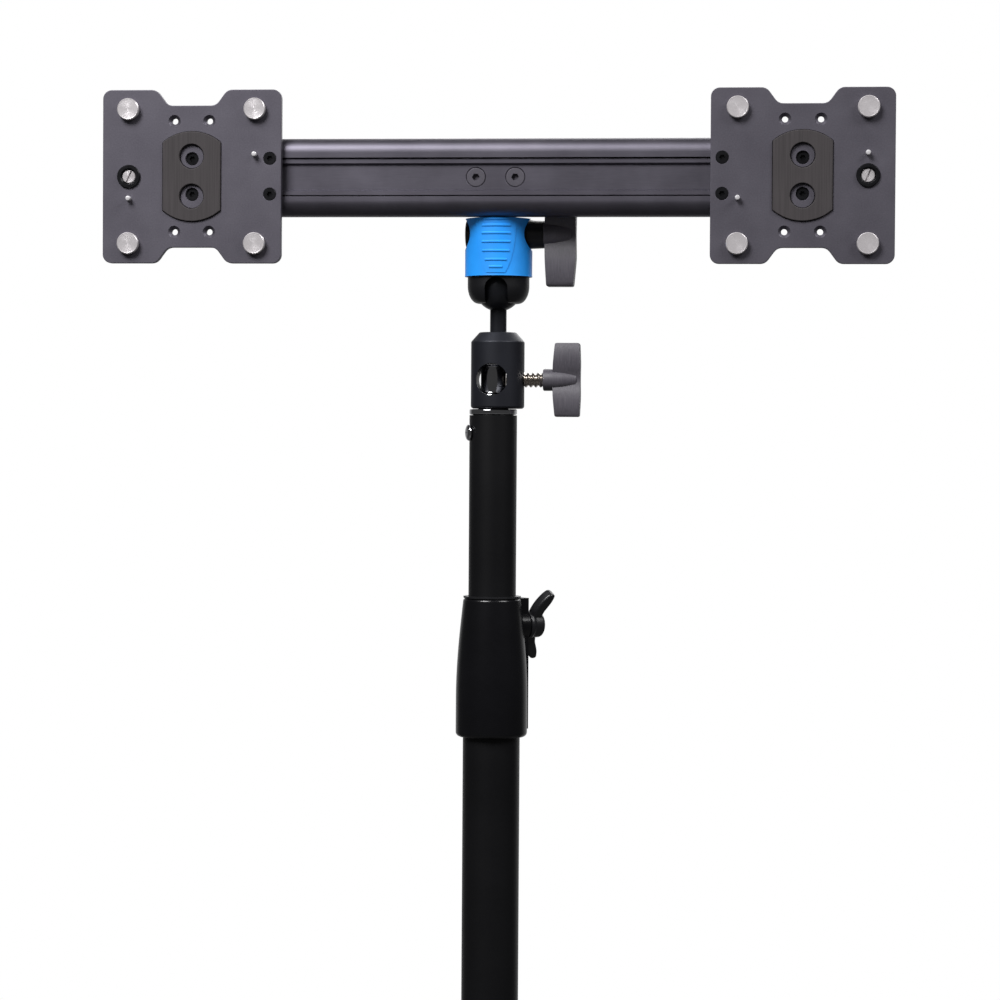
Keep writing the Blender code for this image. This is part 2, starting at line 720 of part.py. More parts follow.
def make_riser():
    """Riser tube with its end plug, the spigot in its top and the screw that holds it."""
    inside = bore(RISER_RADIUS - RISER_WALL)
    riser = turned(
        "riser_tube",
        [
            (inside, RISER_BOTTOM),
            (RISER_RADIUS, RISER_BOTTOM),
            (RISER_RADIUS, RISER_TOP),
            (inside, RISER_TOP),
        ],
    )
    riser.location.y = COLUMN_Y
    way = screw_direction()
    screw_z = RISER_TOP - SPIGOT_SCREW_DROP
    centre = on_column(0, 0, screw_z)
    hole = bore(SPIGOT_SCREW_RADIUS + GAP, COARSE)
    screw_end = RISER_RADIUS + GAP - SPIGOT_SCREW_LENGTH
    cut(riser, rod(hole, centre + way * screw_end, centre + way * (RISER_RADIUS + MM), COARSE))
    paint(riser, "black_tube")

    slide = TUBE_RADIUS - TUBE_WALL - GAP
    neck = RISER_RADIUS - RISER_WALL - GAP
    low = RISER_BOTTOM - GAP - PLUG_FLANGE
    plug = turned(
        "riser_end_plug",
        [
            (0, low),
            (slide, low),
            (slide, low + PLUG_FLANGE),
            (neck, low + PLUG_FLANGE),
            (neck, low + PLUG_LENGTH),
            (0, low + PLUG_LENGTH),
        ],
    )
    plug.location.y = COLUMN_Y
    paint(plug, "grey_nylon")

    waist_low = CROSS_HOLE_Z - SPIGOT_WAIST_HALF
    waist_high = CROSS_HOLE_Z + SPIGOT_WAIST_HALF
    spigot = turned(
        "spigot",
        [
            (0, RISER_TOP - SPIGOT_SHANK),
            (neck, RISER_TOP - SPIGOT_SHANK),
            (neck, RISER_TOP + GAP),
            (RISER_RADIUS, RISER_TOP + GAP),
            (RISER_RADIUS, FLANGE_TOP),
            (SPIGOT_RADIUS, FLANGE_TOP),
            (SPIGOT_RADIUS, waist_low - MM),
            (SPIGOT_WAIST_RADIUS, waist_low),
            (SPIGOT_WAIST_RADIUS, waist_high),
            (SPIGOT_RADIUS, waist_high + MM),
            (SPIGOT_RADIUS, SPIGOT_TOP - MM),
            (SPIGOT_RADIUS - MM, SPIGOT_TOP),
            (0, SPIGOT_TOP),
        ],
    )
    spigot.location.y = COLUMN_Y
    cut(spigot, rod(hole, centre + way * (screw_end - GAP), centre + way * RISER_RADIUS, COARSE))
    paint(spigot, "chrome")

    screw = turned(
        "spigot_screw",
        [
            (0, screw_end),
            (SPIGOT_SCREW_RADIUS, screw_end),
            (SPIGOT_SCREW_RADIUS, RISER_RADIUS + GAP),
            (SPIGOT_SCREW_HEAD, RISER_RADIUS + GAP),
            (SPIGOT_SCREW_HEAD - MM, RISER_RADIUS + GAP + SPIGOT_SCREW_HEAD_HEIGHT),
            (0, RISER_RADIUS + GAP + SPIGOT_SCREW_HEAD_HEIGHT),
        ],
        COARSE,
    )
    place(screw, centre, way)
    paint(screw, "chrome")


def make_receiver():
    """The receiver on the spigot, its T-screw and T-knob."""
    bore_radius = bore(SPIGOT_RADIUS + RECEIVER_BORE_PLAY)
    edge = MM
    receiver = turned(
        "receiver",
        [
            (0, RECEIVER_BOTTOM),
            (RECEIVER_RADIUS - edge, RECEIVER_BOTTOM),
            (RECEIVER_RADIUS, RECEIVER_BOTTOM + edge),
            (RECEIVER_RADIUS, RECEIVER_TOP - RECEIVER_TOP_CHAMFER),
            (RECEIVER_TOP_RADIUS, RECEIVER_TOP),
            (0, RECEIVER_TOP),
        ],
    )
    receiver.location = on_column(RECEIVER_OFFSET, 0, 0)
    side = RECEIVER_OFFSET + RECEIVER_RADIUS
    depth = RECEIVER_RADIUS + MM
    stem_hole = bore(STEM_THREAD_RADIUS + GAP, MEDIUM)
    screw_hole = bore(T_SCREW_RADIUS + GAP, MEDIUM)
    roof = RECEIVER_BORE_TOP
    origin = on_column(0, 0, CROSS_HOLE_Z)
    across = Vector((0, depth, 0))
    cut(
        receiver,
        rod(bore_radius, on_column(0, 0, RECEIVER_BOTTOM - MM), on_column(0, 0, roof), FINE),
        rod(bore(CROSS_HOLE_RADIUS), origin - across, origin + across, FINE),
        rod(stem_hole, on_column(STEM_OFFSET, 0, roof - MM), on_column(STEM_OFFSET, 0, RECEIVER_TOP + MM)),
        rod(screw_hole, origin, origin + Vector((side + MM, 0, 0))),
    )
    paint(receiver, "satin_black")

    screw = turned(
        "receiver_screw",
        [
            (0, SPIGOT_WAIST_RADIUS + GAP),
            (T_SCREW_RADIUS, SPIGOT_WAIST_RADIUS + GAP),
            (T_SCREW_RADIUS, T_SCREW_END),
            (T_SCREW_CORE, T_SCREW_END),
            (T_SCREW_CORE, T_BAR_INNER + KNOB_SCREW_DEPTH),
            (0, T_BAR_INNER + KNOB_SCREW_DEPTH),
        ],
        MEDIUM,
    )
    paint(place(screw, origin, (1, 0, 0), (0, 0, 1)), "chrome")
    knob = t_knob(
        "receiver_knob",
        origin,
        T_SCREW_END + GAP,
        (T_BAR_INNER, T_BAR_OUTER),
        (T_BOSS_RADIUS, T_BAR_HALF_LENGTH, T_BAR_DEPTH),
        T_SCREW_CORE,
    )
    paint(knob, "knob_plastic")


def t_knob(name, origin, boss_face, reach, sizes, core):
    """A T-knob on an axis along +X: a boss, a cross bar and the blind hole for its screw."""
    inner, outer = reach
    boss_radius, half_length, depth = sizes
    width = outer - inner
    half = [
        (inner, boss_radius),
        (inner + 0.28 * width, 0.6 * half_length),
        (inner + 0.2 * width, half_length),
        (outer - 0.08 * width, half_length),
        (outer, 0.5 * half_length),
    ]
    outline = half + [(x, -z) for x, z in reversed(half)]
    knob = prism(name, outline, -depth / 2, depth / 2, "Y")
    place(knob, origin)
    along = Vector((1, 0, 0))
    weld(knob, rod(boss_radius, origin + boss_face * along, origin + (inner + width / 2) * along))
    hole = bore(core + GAP, COARSE)
    blind = inner + KNOB_SCREW_DEPTH + GAP
    cut(knob, rod(hole, origin + (boss_face - MM) * along, origin + blind * along, COARSE))
    return knob


def sphere_point(radius, angle):
    """A profile point on a sphere about the origin, the angle in degrees from the top."""
    return (radius * math.sin(math.radians(angle)), radius * math.cos(math.radians(angle)))


def make_ball():
    """The ball on its stem, screwed into the receiver's roof."""
    low = RECEIVER_BORE_TOP + GAP - BALL.z
    shoulder = RECEIVER_TOP + GAP - BALL.z
    meet = 180 - math.degrees(math.asin(STEM_RADIUS / BALL_RADIUS))
    steps = 8
    profile = [(0, low), (STEM_THREAD_RADIUS, low), (STEM_THREAD_RADIUS, shoulder), (STEM_RADIUS, shoulder)]
    profile += [sphere_point(BALL_RADIUS, meet * (steps - i) / steps) for i in range(steps)]
    profile.append((0, BALL_RADIUS))
    stem = turned("ball_stem", profile)
    stem.location = BALL
    paint(stem, "black_plastic")


def cap_shell(name, inner, thickness, angle):
    """A spherical cap shell about the ball's centre."""
    steps = 3
    inside = [sphere_point(inner, angle * i / steps) for i in range(steps + 1)]
    outside = [sphere_point(inner + thickness, angle * (steps - i) / steps) for i in range(steps + 1)]
    inside[0] = (0, inner)
    outside[-1] = (0, inner + thickness)
    shell = turned(name, inside + outside, MEDIUM)
    shell.location = BALL
    return shell


def cavity_radii():
    """Radii of the housing's lip, side wall and dome round the ball."""
    lip = BALL_RADIUS + GAP
    side = lip + PAD_THICKNESS + GAP
    dome = side + CUP_THICKNESS + GAP
    return lip, side, dome


def make_head():
    """Cups, housing, sleeve, cap, lock plunger, lock shaft and lock knob."""
    lip, side, dome = cavity_radii()
    paint(cap_shell("ball_brake_pad", lip, PAD_THICKNESS, PAD_CAP_ANGLE), "brass")
    paint(cap_shell("ball_pressure_cup", side, CUP_THICKNESS, CUP_CAP_ANGLE), "grey_nylon")

    outside = [(0, -MOUTH_DROP)] + bulb_outline() + [(HOUSING_RADIUS, HOUSING_TOP), (0, HOUSING_TOP)]
    housing = turned("head_housing", outside)
    housing.location = BALL
    weld(housing, lock_bosses())
    arch = arc((0, SLOT_CENTRE), SLOT_WIDTH / 2, 0, 180, 8)
    mouth = MOUTH_DROP + MM
    arch += [(-SLOT_WIDTH / 2, -mouth), (SLOT_WIDTH / 2, -mouth)]
    slot = prism("tool", arch, -HOUSING_RADIUS - MM, -SLOT_WIDTH / 2, "Y")
    slot.location = BALL
    shaft_hole = bore(LOCK_SHAFT_RADIUS + GAP, MEDIUM)
    span = LOCK_BOSS_FACE + MM
    stud_floor = HOUSING_TOP - STUD_DOWN - 2 * GAP
    cut(
        housing,
        ball_cavity(lip, side, dome),
        slot,
        rod(shaft_hole, on_head(-span, 0, LOCK_HEIGHT), on_head(span, 0, LOCK_HEIGHT)),
        rod(bore(STUD_RADIUS + GAP, MEDIUM), on_head(0, 0, stud_floor), on_head(0, 0, HOUSING_TOP + MM)),
    )
    paint(housing, "black_plastic")
    make_sleeve()
    make_lock(dome)


def bulb_outline():
    """The housing's rounded lower end, a quarter of an ellipse from the mouth to the side."""
    steps = 4
    turns = [math.pi / 2 * i / steps for i in range(steps + 1)]
    wide, tall = HOUSING_RADIUS - MOUTH_RADIUS, BULB_TOP + MOUTH_DROP
    return [(MOUTH_RADIUS + wide * math.sin(t), BULB_TOP - tall * math.cos(t)) for t in turns]


def ball_cavity(lip, side, dome):
    """The space inside the housing: lip, side wall and dome round the ball, and the plunger's bore."""
    hole = bore(PLUNGER_RADIUS + GAP)
    lip_low = math.degrees(math.acos(-MOUTH_DROP / lip))
    lip_high = math.degrees(math.acos(MOUTH_LIP_TOP / lip))
    side_low = math.degrees(math.acos(MOUTH_LIP_TOP / side))
    dome_high = math.degrees(math.asin(hole / dome))

    def stretch(radius, start, end, steps):
        return [sphere_point(radius, start + (end - start) * i / steps) for i in range(steps + 1)]

    top = LOCK_HEIGHT - LOCK_SHAFT_RADIUS / 3
    profile = [(0, top), (hole, top)]
    profile += stretch(dome, dome_high, DOME_START_ANGLE, 3)
    profile += stretch(side, DOME_START_ANGLE, side_low, 4)
    profile += stretch(lip, lip_high, lip_low, 2)
    profile += [(profile[-1][0], -MOUTH_DROP - MM), (0, -MOUTH_DROP - MM)]
    cavity = turned("tool", profile, FINE, TOOL_PHASE)
    cavity.location = BALL
    return cavity


def lock_bosses():
    """The bosses that carry the lock shaft: flush on the left, long and tapered on the right."""
    left = HOUSING_RADIUS + LOCK_BOSS_STAND
    bosses = turned(
        "tool",
        [
            (0, -left),
            (LOCK_BOSS_RADIUS, -left),
            (LOCK_BOSS_RADIUS, HOUSING_RADIUS),
            (LOCK_BOSS_TIP_RADIUS, LOCK_BOSS_FACE),
            (0, LOCK_BOSS_FACE),
        ],
        MEDIUM,
        TOOL_PHASE,
    )
    return place(bosses, on_head(0, 0, LOCK_HEIGHT), (1, 0, 0), (0, 0, 1))


def make_sleeve():
    inside = bore(HOUSING_RADIUS + GAP)
    outside = HOUSING_RADIUS + GAP + SLEEVE_WALL
    top = HOUSING_TOP - GAP
    sleeve = turned(
        "head_sleeve",
        [(inside, SLEEVE_BOTTOM), (outside, SLEEVE_BOTTOM), (outside - SLEEVE_TAPER, top), (inside, top)],
    )
    sleeve.location = BALL
    reach = outside + MM
    window = bore(SLEEVE_WINDOW_RADIUS)
    cut(sleeve, rod(window, on_head(-reach, 0, LOCK_HEIGHT), on_head(reach, 0, LOCK_HEIGHT), FINE))
    paint(sleeve, "blue_plastic")


def make_lock(dome):
    axis = on_head(0, 0, LOCK_HEIGHT)
    left = HOUSING_RADIUS + LOCK_BOSS_STAND + GAP
    stub = LOCK_CAP_STUB
    cap = turned(
        "head_side_cap",
        [
            (0, -left - LOCK_CAP_THICKNESS),
            (LOCK_CAP_RADIUS, -left - LOCK_CAP_THICKNESS),
            (LOCK_CAP_RADIUS, -left),
            (LOCK_SHAFT_RADIUS, -left),
            (LOCK_SHAFT_RADIUS, -left + stub),
            (0, -left + stub),
        ],
        MEDIUM,
    )
    paint(place(cap, axis, (1, 0, 0), (0, 0, 1)), "black_plastic")

    knob_inner = LOCK_BOSS_FACE + GAP + LOCK_KNOB_BOSS_LENGTH
    shaft = turned(
        "head_lock_shaft",
        [
            (0, -left + stub + GAP),
            (LOCK_SHAFT_RADIUS, -left + stub + GAP),
            (LOCK_SHAFT_RADIUS, LOCK_BOSS_FACE),
            (LOCK_SHAFT_RADIUS - MM, LOCK_BOSS_FACE),
            (LOCK_SHAFT_RADIUS - MM, knob_inner + KNOB_SCREW_DEPTH),
            (0, knob_inner + KNOB_SCREW_DEPTH),
        ],
        MEDIUM,
    )
    paint(place(shaft, axis, (1, 0, 0), (0, 0, 1)), "chrome")

    top = LOCK_HEIGHT - LOCK_SHAFT_RADIUS - GAP
    pin = [(0, dome), (PLUNGER_RADIUS, dome), (PLUNGER_RADIUS, top), (0, top)]
    plunger = turned("head_lock_plunger", pin, MEDIUM)
    plunger.location = BALL
    paint(plunger, "turned_steel")

    knob = t_knob(
        "head_lock_knob",
        axis,
        LOCK_BOSS_FACE + GAP,
        (knob_inner, LOCK_BAR_OUTER),
        (LOCK_BOSS_TIP_RADIUS, LOCK_BAR_HALF_LENGTH, LOCK_BAR_DEPTH),
        LOCK_SHAFT_RADIUS - MM,
    )
    paint(knob, "knob_plastic")

    low = HOUSING_TOP - STUD_DOWN
    plate_low = HOUSING_TOP + GAP
    plate_high = plate_low + TOP_PLATE_HEIGHT
    stud = turned(
        "head_top_plate",
        [
            (0, low),
            (STUD_RADIUS, low),
            (STUD_RADIUS, plate_low),
            (TOP_PLATE_RADIUS, plate_low),
            (TOP_PLATE_RADIUS, plate_high),
            (STUD_RADIUS, plate_high),
            (STUD_RADIUS, plate_high + STUD_UP),
            (0, plate_high + STUD_UP),
        ],
    )
    stud.location = BALL
    paint(stud, "black_steel")


def bar_outline():
    """The crossbar's section as (y, z) points: grooves and web in front, channel behind."""
    half = BAR_HEIGHT / 2
    front, back = BAR_FACE_Y, BAR_BACK_Y
    web = WEB_FACE_Y
    edge = BAR_EDGE_RADIUS
    groove_low = GROOVE_HEIGHT - GROOVE_WIDTH / 2
    groove_high = GROOVE_HEIGHT + GROOVE_WIDTH / 2
    rib = front + MM
    upper = [
        (web, WEB_HALF_HEIGHT),
        (rib, WEB_HALF_HEIGHT),
        (rib, groove_low),
        (front + GROOVE_DEPTH, groove_low),
        (front + GROOVE_DEPTH, groove_high),
        (front, groove_high),
    ]
    upper += arc((front + edge, half - edge), edge, 180, 90, 4)
    upper += arc((back - edge, half - edge), edge, 90, 0, 4)
    upper += [(back, CHANNEL_HALF_HEIGHT), (back - CHANNEL_DEPTH, CHANNEL_HALF_HEIGHT)]
    lower = [(y, -z) for y, z in reversed(upper)]
    return [(y, z + BAR_Z) for y, z in upper + lower]


def chamber_boxes():
    """The two hollow chambers of the section as (y0, z0, y1, z1)."""
    y0, y1 = BAR_FACE_Y + CHAMBER_FRONT, BAR_FACE_Y + CHAMBER_BACK
    return [
        (y0, BAR_Z + CHAMBER_INNER, y1, BAR_Z + CHAMBER_OUTER),
        (y0, BAR_Z - CHAMBER_OUTER, y1, BAR_Z - CHAMBER_INNER),
    ]


def plate_centres():
    return {"left": STEM_OFFSET - PLATE_SPACING / 2, "right": STEM_OFFSET + PLATE_SPACING / 2}


def plate_screw_places():
    """The plate screws from the plate's centre, and how deep each head sits."""
    return [
        (0, GROOVE_HEIGHT, PAD_RECESS),
        (0, -GROOVE_HEIGHT, PAD_RECESS),
        (EDGE_SCREW_X, GROOVE_HEIGHT, 0),
        (EDGE_SCREW_X, -GROOVE_HEIGHT, 0),
    ]


def make_bar():
    """The extruded crossbar, its end caps and the two screws that hold it to the block."""
    left, right = STEM_OFFSET - BAR_HALF_LENGTH, STEM_OFFSET + BAR_HALF_LENGTH
    bar = prism("crossbar", bar_outline(), left, right, "X")
    tools = [prism("tool", rectangle(*box), left - MM, right + MM, "X") for box in chamber_boxes()]
    deep = PLATE_SCREW_LENGTH + GAP
    hole = bore(PLATE_SCREW_RADIUS + GAP, COARSE)
    for side, centre in plate_centres().items():
        inward = 1 if side == "left" else -1
        for x, z, _ in plate_screw_places():
            start = Vector((centre + inward * x, BAR_FACE_Y - MM, BAR_Z + z))
            tools.append(rod(hole, start, start + Vector((0, MM + deep, 0)), COARSE))
    for x in (-BAR_SCREW_SPACING / 2, BAR_SCREW_SPACING / 2):
        sink = countersunk_profile(BAR_SCREW_HEAD, BAR_SCREW_RADIUS, BAR_DEPTH, GAP, MM)
        tool = turned("tool", sink, MEDIUM)
        tools.append(place(tool, (STEM_OFFSET + x, WEB_FACE_Y, BAR_Z), (0, -1, 0), (1, 0, 0)))
    cut(bar, *tools)
    paint(bar, "anodised")

    for name, end, way in (("left", left, -1), ("right", right, 1)):
        face = end + way * GAP
        half = BAR_HEIGHT / 2
        flange_box = (BAR_FACE_Y, BAR_Z - half, BAR_BACK_Y, BAR_Z + half)
        cap = prism(f"bar_end_cap_{name}", rectangle(*flange_box), face, face + way * CAP_FLANGE, "X")
        pegs = []
        for y0, z0, y1, z1 in chamber_boxes():
            peg = rectangle(y0 + GAP, z0 + GAP, y1 - GAP, z1 - GAP)
            pegs.append(prism("tool", peg, face + way * CAP_FLANGE / 2, end - way * CAP_PEG_LENGTH, "X"))
        weld(cap, *pegs)
        paint(cap, "black_plastic")

    profile = countersunk_profile(BAR_SCREW_HEAD, BAR_SCREW_RADIUS, BAR_SCREW_LENGTH)
    screw = turned("bar_screw_left", profile, MEDIUM)
    cut(screw, key_socket(BAR_SCREW_KEY, 2 * MM))
    for name, x in (("left", -BAR_SCREW_SPACING / 2), ("right", BAR_SCREW_SPACING / 2)):
        item = screw if name == "left" else copy_of(screw, f"bar_screw_{name}")
        place(item, (STEM_OFFSET + x, WEB_FACE_Y, BAR_Z), (0, -1, 0), (1, 0, 0))
        paint(item, "black_steel")


def make_block():
    """The block behind the bar: its tongue sits in the bar's channel and the head's stud in its foot."""
    low = BALL.z + HOUSING_TOP + GAP + TOP_PLATE_HEIGHT + GAP
    high = BAR_Z + BAR_HEIGHT / 2 - BLOCK_BELOW_TOP
    front = BAR_BACK_Y + GAP
    tongue = BAR_BACK_Y - CHANNEL_DEPTH + GAP
    tongue_half = CHANNEL_HALF_HEIGHT - GAP
    back = COLUMN_Y + BLOCK_BEHIND
    outline = [
        (front, low),
        (back, low),
        (back, high),
        (front, high),
        (front, BAR_Z + tongue_half),
        (tongue, BAR_Z + tongue_half),
        (tongue, BAR_Z - tongue_half),
        (front, BAR_Z - tongue_half),
    ]
    left, right = STEM_OFFSET - BLOCK_HALF_WIDTH, STEM_OFFSET + BLOCK_HALF_WIDTH
    block = prism("mount_block", outline, left, right, "X")
    stud_top = BALL.z + HOUSING_TOP + GAP + TOP_PLATE_HEIGHT + STUD_UP + GAP
    axis = Vector((BALL.x, BALL.y, 0))
    stud_hole = bore(STUD_RADIUS + GAP, MEDIUM)
    tools = [rod(stud_hole, axis + Vector((0, 0, low - MM)), axis + Vector((0, 0, stud_top)))]
    hole = bore(BAR_SCREW_RADIUS + GAP, MEDIUM)
    end = WEB_FACE_Y + BAR_SCREW_LENGTH + GAP
    for x in (-BAR_SCREW_SPACING / 2, BAR_SCREW_SPACING / 2):
        start = Vector((STEM_OFFSET + x, tongue - MM, BAR_Z))
        tools.append(rod(hole, start, Vector((start.x, end, BAR_Z))))
    cut(block, *tools)
    paint(block, "satin_black")


def plate_outline():
    """The plate's outline as (x, z) points: round corners, and a slanted notch above and below."""
    half_x, half_z = PLATE_WIDTH / 2, PLATE_HEIGHT / 2
    round_off = PLATE_CORNER_RADIUS
    floor_z = half_z - NOTCH_DEPTH
    soft = NOTCH_ROUND / 2
    quarter = arc((half_x - round_off, half_z - round_off), round_off, 0, 90, 4)
    quarter += [(NOTCH_MOUTH / 2 + soft, half_z), (NOTCH_MOUTH / 2 - soft, half_z - soft)]
    quarter += [(NOTCH_FLOOR / 2 + soft, floor_z + soft), (NOTCH_FLOOR / 2 - soft, floor_z)]
    top = quarter + [(-x, z) for x, z in reversed(quarter)]
    return top + [(-x, -z) for x, z in top]


def truncated_disc(grow):
    """The friction pad's outline: a disc with flats left and right."""
    radius, half = PAD_RADIUS + grow, PAD_HALF_WIDTH + grow
    edge = math.degrees(math.acos(half / radius))
    top = arc((0, 0), radius, edge, 180 - edge, 10)
    return top + [(-x, -z) for x, z in top]


def disc_places():
    half_x, half_z = DISC_SPACING_X / 2, DISC_SPACING_Z / 2
    return {
        "top_left": (-half_x, half_z),
        "top_right": (half_x, half_z),
        "bottom_left": (-half_x, -half_z),
        "bottom_right": (half_x, -half_z),
    }


def make_plate():
    """One mount plate about its own centre, its back at y = 0 and its two locating pins in front."""
    face = -PLATE_THICKNESS
    plate = prism("mount_plate_left", plate_outline(), face, 0, "Y")

    def hole(radius, x, z, sides=COARSE):
        return rod(bore(radius, sides), (x, face - MM, z), (x, MM, z), sides)

    def sink(head, shank, x, z, depth, extra):
        tool = turned("tool", countersunk_profile(head, shank, PLATE_THICKNESS + MM, extra, 3 * MM), COARSE)
        return place(tool, (x, face + depth, z), (0, -1, 0), (1, 0, 0))

    tools = [prism("tool", truncated_disc(GAP), face - MM, face + PAD_RECESS, "Y")]
    tools += [hole(DISC_STUB_RADIUS + GAP, x, z) for x, z in disc_places().values()]
    tools.append(hole(COLLET_BARREL_RADIUS + GAP, -CAPTIVE_X, 0, MEDIUM))
    for x in (-EMPTY_SPACING_X / 2, EMPTY_SPACING_X / 2):
        for z in (-EMPTY_SPACING_Z / 2, EMPTY_SPACING_Z / 2):
            tools.append(sink(EMPTY_HOLE_SINK, EMPTY_HOLE_RADIUS, x, z, 0, 0))
    for x, z, depth in plate_screw_places():
        tools.append(sink(PLATE_SCREW_HEAD, PLATE_SCREW_RADIUS, x, z, depth, GAP))
    cut(plate, *tools)
    pins = [rod(PIN_RADIUS, (x, -MM, z), (x, face - PIN_HEIGHT, z), COARSE) for x, z in pin_places()]
    return weld(plate, *pins)


def pin_places():
    return [(PIN_X, PIN_Z), (-PIN_X, -PIN_Z)]


def make_plates():
    """Both mount plates with everything fitted to them."""
    left_plate = make_plate()
    for side, centre in plate_centres().items():
        inward = 1 if side == "left" else -1
        middle = Vector((centre, 0, BAR_Z))
        plate = left_plate if side == "left" else copy_of(left_plate, "mount_plate_right")
        place(plate, middle + Vector((0, PLATE_BACK_Y, 0)), (0, 0, inward), (inward, 0, 0))
        paint(plate, "anodised")
        make_friction_pad(side, middle)
        make_discs(side, middle)
        make_plate_screws(side, middle, inward)
        make_captive(side, middle + Vector((-inward * CAPTIVE_X, 0, 0)), inward)


def make_friction_pad(side, middle):
    back = PLATE_FACE_Y + PAD_RECESS - GAP
    pad = prism(f"friction_pad_{side}", truncated_disc(0), back - PAD_HEIGHT, back, "Y")
    pad.location = middle
    holes = []
    for z in (-PAD_HOLE_SPACING / 2, PAD_HOLE_SPACING / 2):
        centre = middle + Vector((0, 0, z))
        start = centre + Vector((0, back - PAD_HEIGHT - MM, 0))
        holes.append(rod(bore(PAD_HOLE_RADIUS, MEDIUM), start, centre + Vector((0, back + MM, 0))))
    cut(pad, *holes)
    paint(pad, "friction_rubber")


def make_discs(side, middle):
    foot = -(PLATE_THICKNESS - GAP)
    profile = [
        (0, foot),
        (DISC_STUB_RADIUS, foot),
        (DISC_STUB_RADIUS, GAP),
        (DISC_RADIUS, GAP),
        (DISC_RADIUS, GAP + DISC_HEIGHT),
        (0, GAP + DISC_HEIGHT),
    ]
    for corner, (x, z) in disc_places().items():
        disc = turned(f"corner_disc_{side}_{corner}", profile, MEDIUM)
        place(disc, middle + Vector((x, PLATE_FACE_Y, z)), (0, -1, 0), (1, 0, 0))
        paint(disc, "turned_steel")


def make_plate_screws(side, middle, inward):
    names = ("pad_upper", "pad_lower", "edge_upper", "edge_lower")
    for name, (x, z, depth) in zip(names, plate_screw_places()):
        length = PLATE_SCREW_LENGTH + PLATE_THICKNESS - depth
        profile = countersunk_profile(PLATE_SCREW_HEAD, PLATE_SCREW_RADIUS, length)
        screw = turned(f"plate_screw_{side}_{name}", profile, COARSE)
        cut(screw, key_socket(PLATE_SCREW_KEY, MM))
        place(screw, middle + Vector((inward * x, PLATE_FACE_Y + depth, z)), (0, -1, 0), (1, 0, 0))
        paint(screw, "black_steel")


def make_captive(side, centre, inward):
    """The retaining ring in the plate and the slotted screw that turns in it."""
    origin = centre + Vector((0, PLATE_FACE_Y, 0))
    seat = -(PLATE_THICKNESS - COLLET_LIP)
    flange = GAP + COLLET_FLANGE
    wide = bore(CAPTIVE_HEAD_RADIUS + GAP, MEDIUM)
    narrow = bore(CAPTIVE_RADIUS + GAP, MEDIUM)
    ring = turned(
        f"captive_ring_{side}",
        [
            (narrow, -PLATE_THICKNESS),
            (COLLET_BARREL_RADIUS, -PLATE_THICKNESS),
            (COLLET_BARREL_RADIUS, GAP),
            (COLLET_RADIUS, GAP),
            (COLLET_RADIUS, flange),
            (wide, flange),
            (wide, seat),
            (narrow, seat),
        ],
        MEDIUM,
    )
    paint(place(ring, origin, (0, -1, 0), (1, 0, 0)), "black_steel")

    head_low = seat + GAP
    head_high = head_low + CAPTIVE_HEAD_HEIGHT
    screw = turned(
        f"captive_screw_{side}",
        [
            (0, -CAPTIVE_LENGTH),
            (CAPTIVE_RADIUS, -CAPTIVE_LENGTH),
            (CAPTIVE_RADIUS, head_low),
            (CAPTIVE_HEAD_RADIUS, head_low),
            (CAPTIVE_HEAD_RADIUS, head_high),
            (0, head_high),
        ],
        MEDIUM,
    )
    half = CAPTIVE_SLOT / 2
    long_way = CAPTIVE_HEAD_RADIUS + MM
    slot = prism("tool", rectangle(-long_way, -half, long_way, half), head_high - MM, head_high + MM, "Z")
    cut(screw, slot)
    lean = math.radians(inward * CAPTIVE_SLOT_ANGLE)
    place(screw, origin, (0, -1, 0), (math.cos(lean), 0, math.sin(lean)))
    paint(screw, "turned_steel")


# The moving bodies: each pivot's place, what carries it and the pieces that it carries
def make_pivots():
    pieces = bpy.data.objects
    axis = on_column(0, 0, 0)
    centre = on_head(0, 0, 0)
    cross = on_column(0, 0, CROSS_HOLE_Z)
    chain = [
        ("riser_slide", axis, ["riser_tube", "riser_end_plug", "spigot", "spigot_screw"]),
        ("receiver_pan", cross, ["receiver", "ball_stem", "receiver_screw", "receiver_knob"]),
        ("ball_pan", centre, ["ball_brake_pad"]),
        ("ball_tilt", centre, ["ball_pressure_cup"]),
        ("ball_roll", centre, head_pieces()),
    ]
    above = None
    for name, origin, carried in chain:
        hinge = pivot(f"{name}_pivot", origin)
        carry(hinge, *[pieces[item] for item in carried])
        if above:
            carry(above, hinge)
        above = hinge


def head_pieces():
    names = [
        "head_housing",
        "head_sleeve",
        "head_side_cap",
        "head_lock_plunger",
        "head_lock_shaft",
        "head_lock_knob",
        "head_top_plate",
        "mount_block",
        "crossbar",
    ]
    starts = ("bar_", "mount_plate_", "friction_pad_", "corner_disc_", "plate_screw_", "captive_")
    return names + sorted(item.name for item in bpy.data.objects if item.name.startswith(starts))


def main():
    clear_scene()
    make_base()
    make_collar()
    make_riser()
    make_receiver()
    make_ball()
    make_head()
    make_bar()
    make_block()
    make_plates()
    make_pivots()


main()
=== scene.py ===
"""Looks of the dual monitor stand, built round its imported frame.

Each sub-assembly is a class whose fields are real sizes in metres. It models its pieces in the
places that the frame gives, dresses them in procedural finishes and lets each ride on its body.
"""

import logging
import math
from dataclasses import dataclass, field
from enum import Enum

import bpy
from bpy.types import Material, Node, NodeSocket, NodeTree, Object
from mathutils import Matrix, Vector

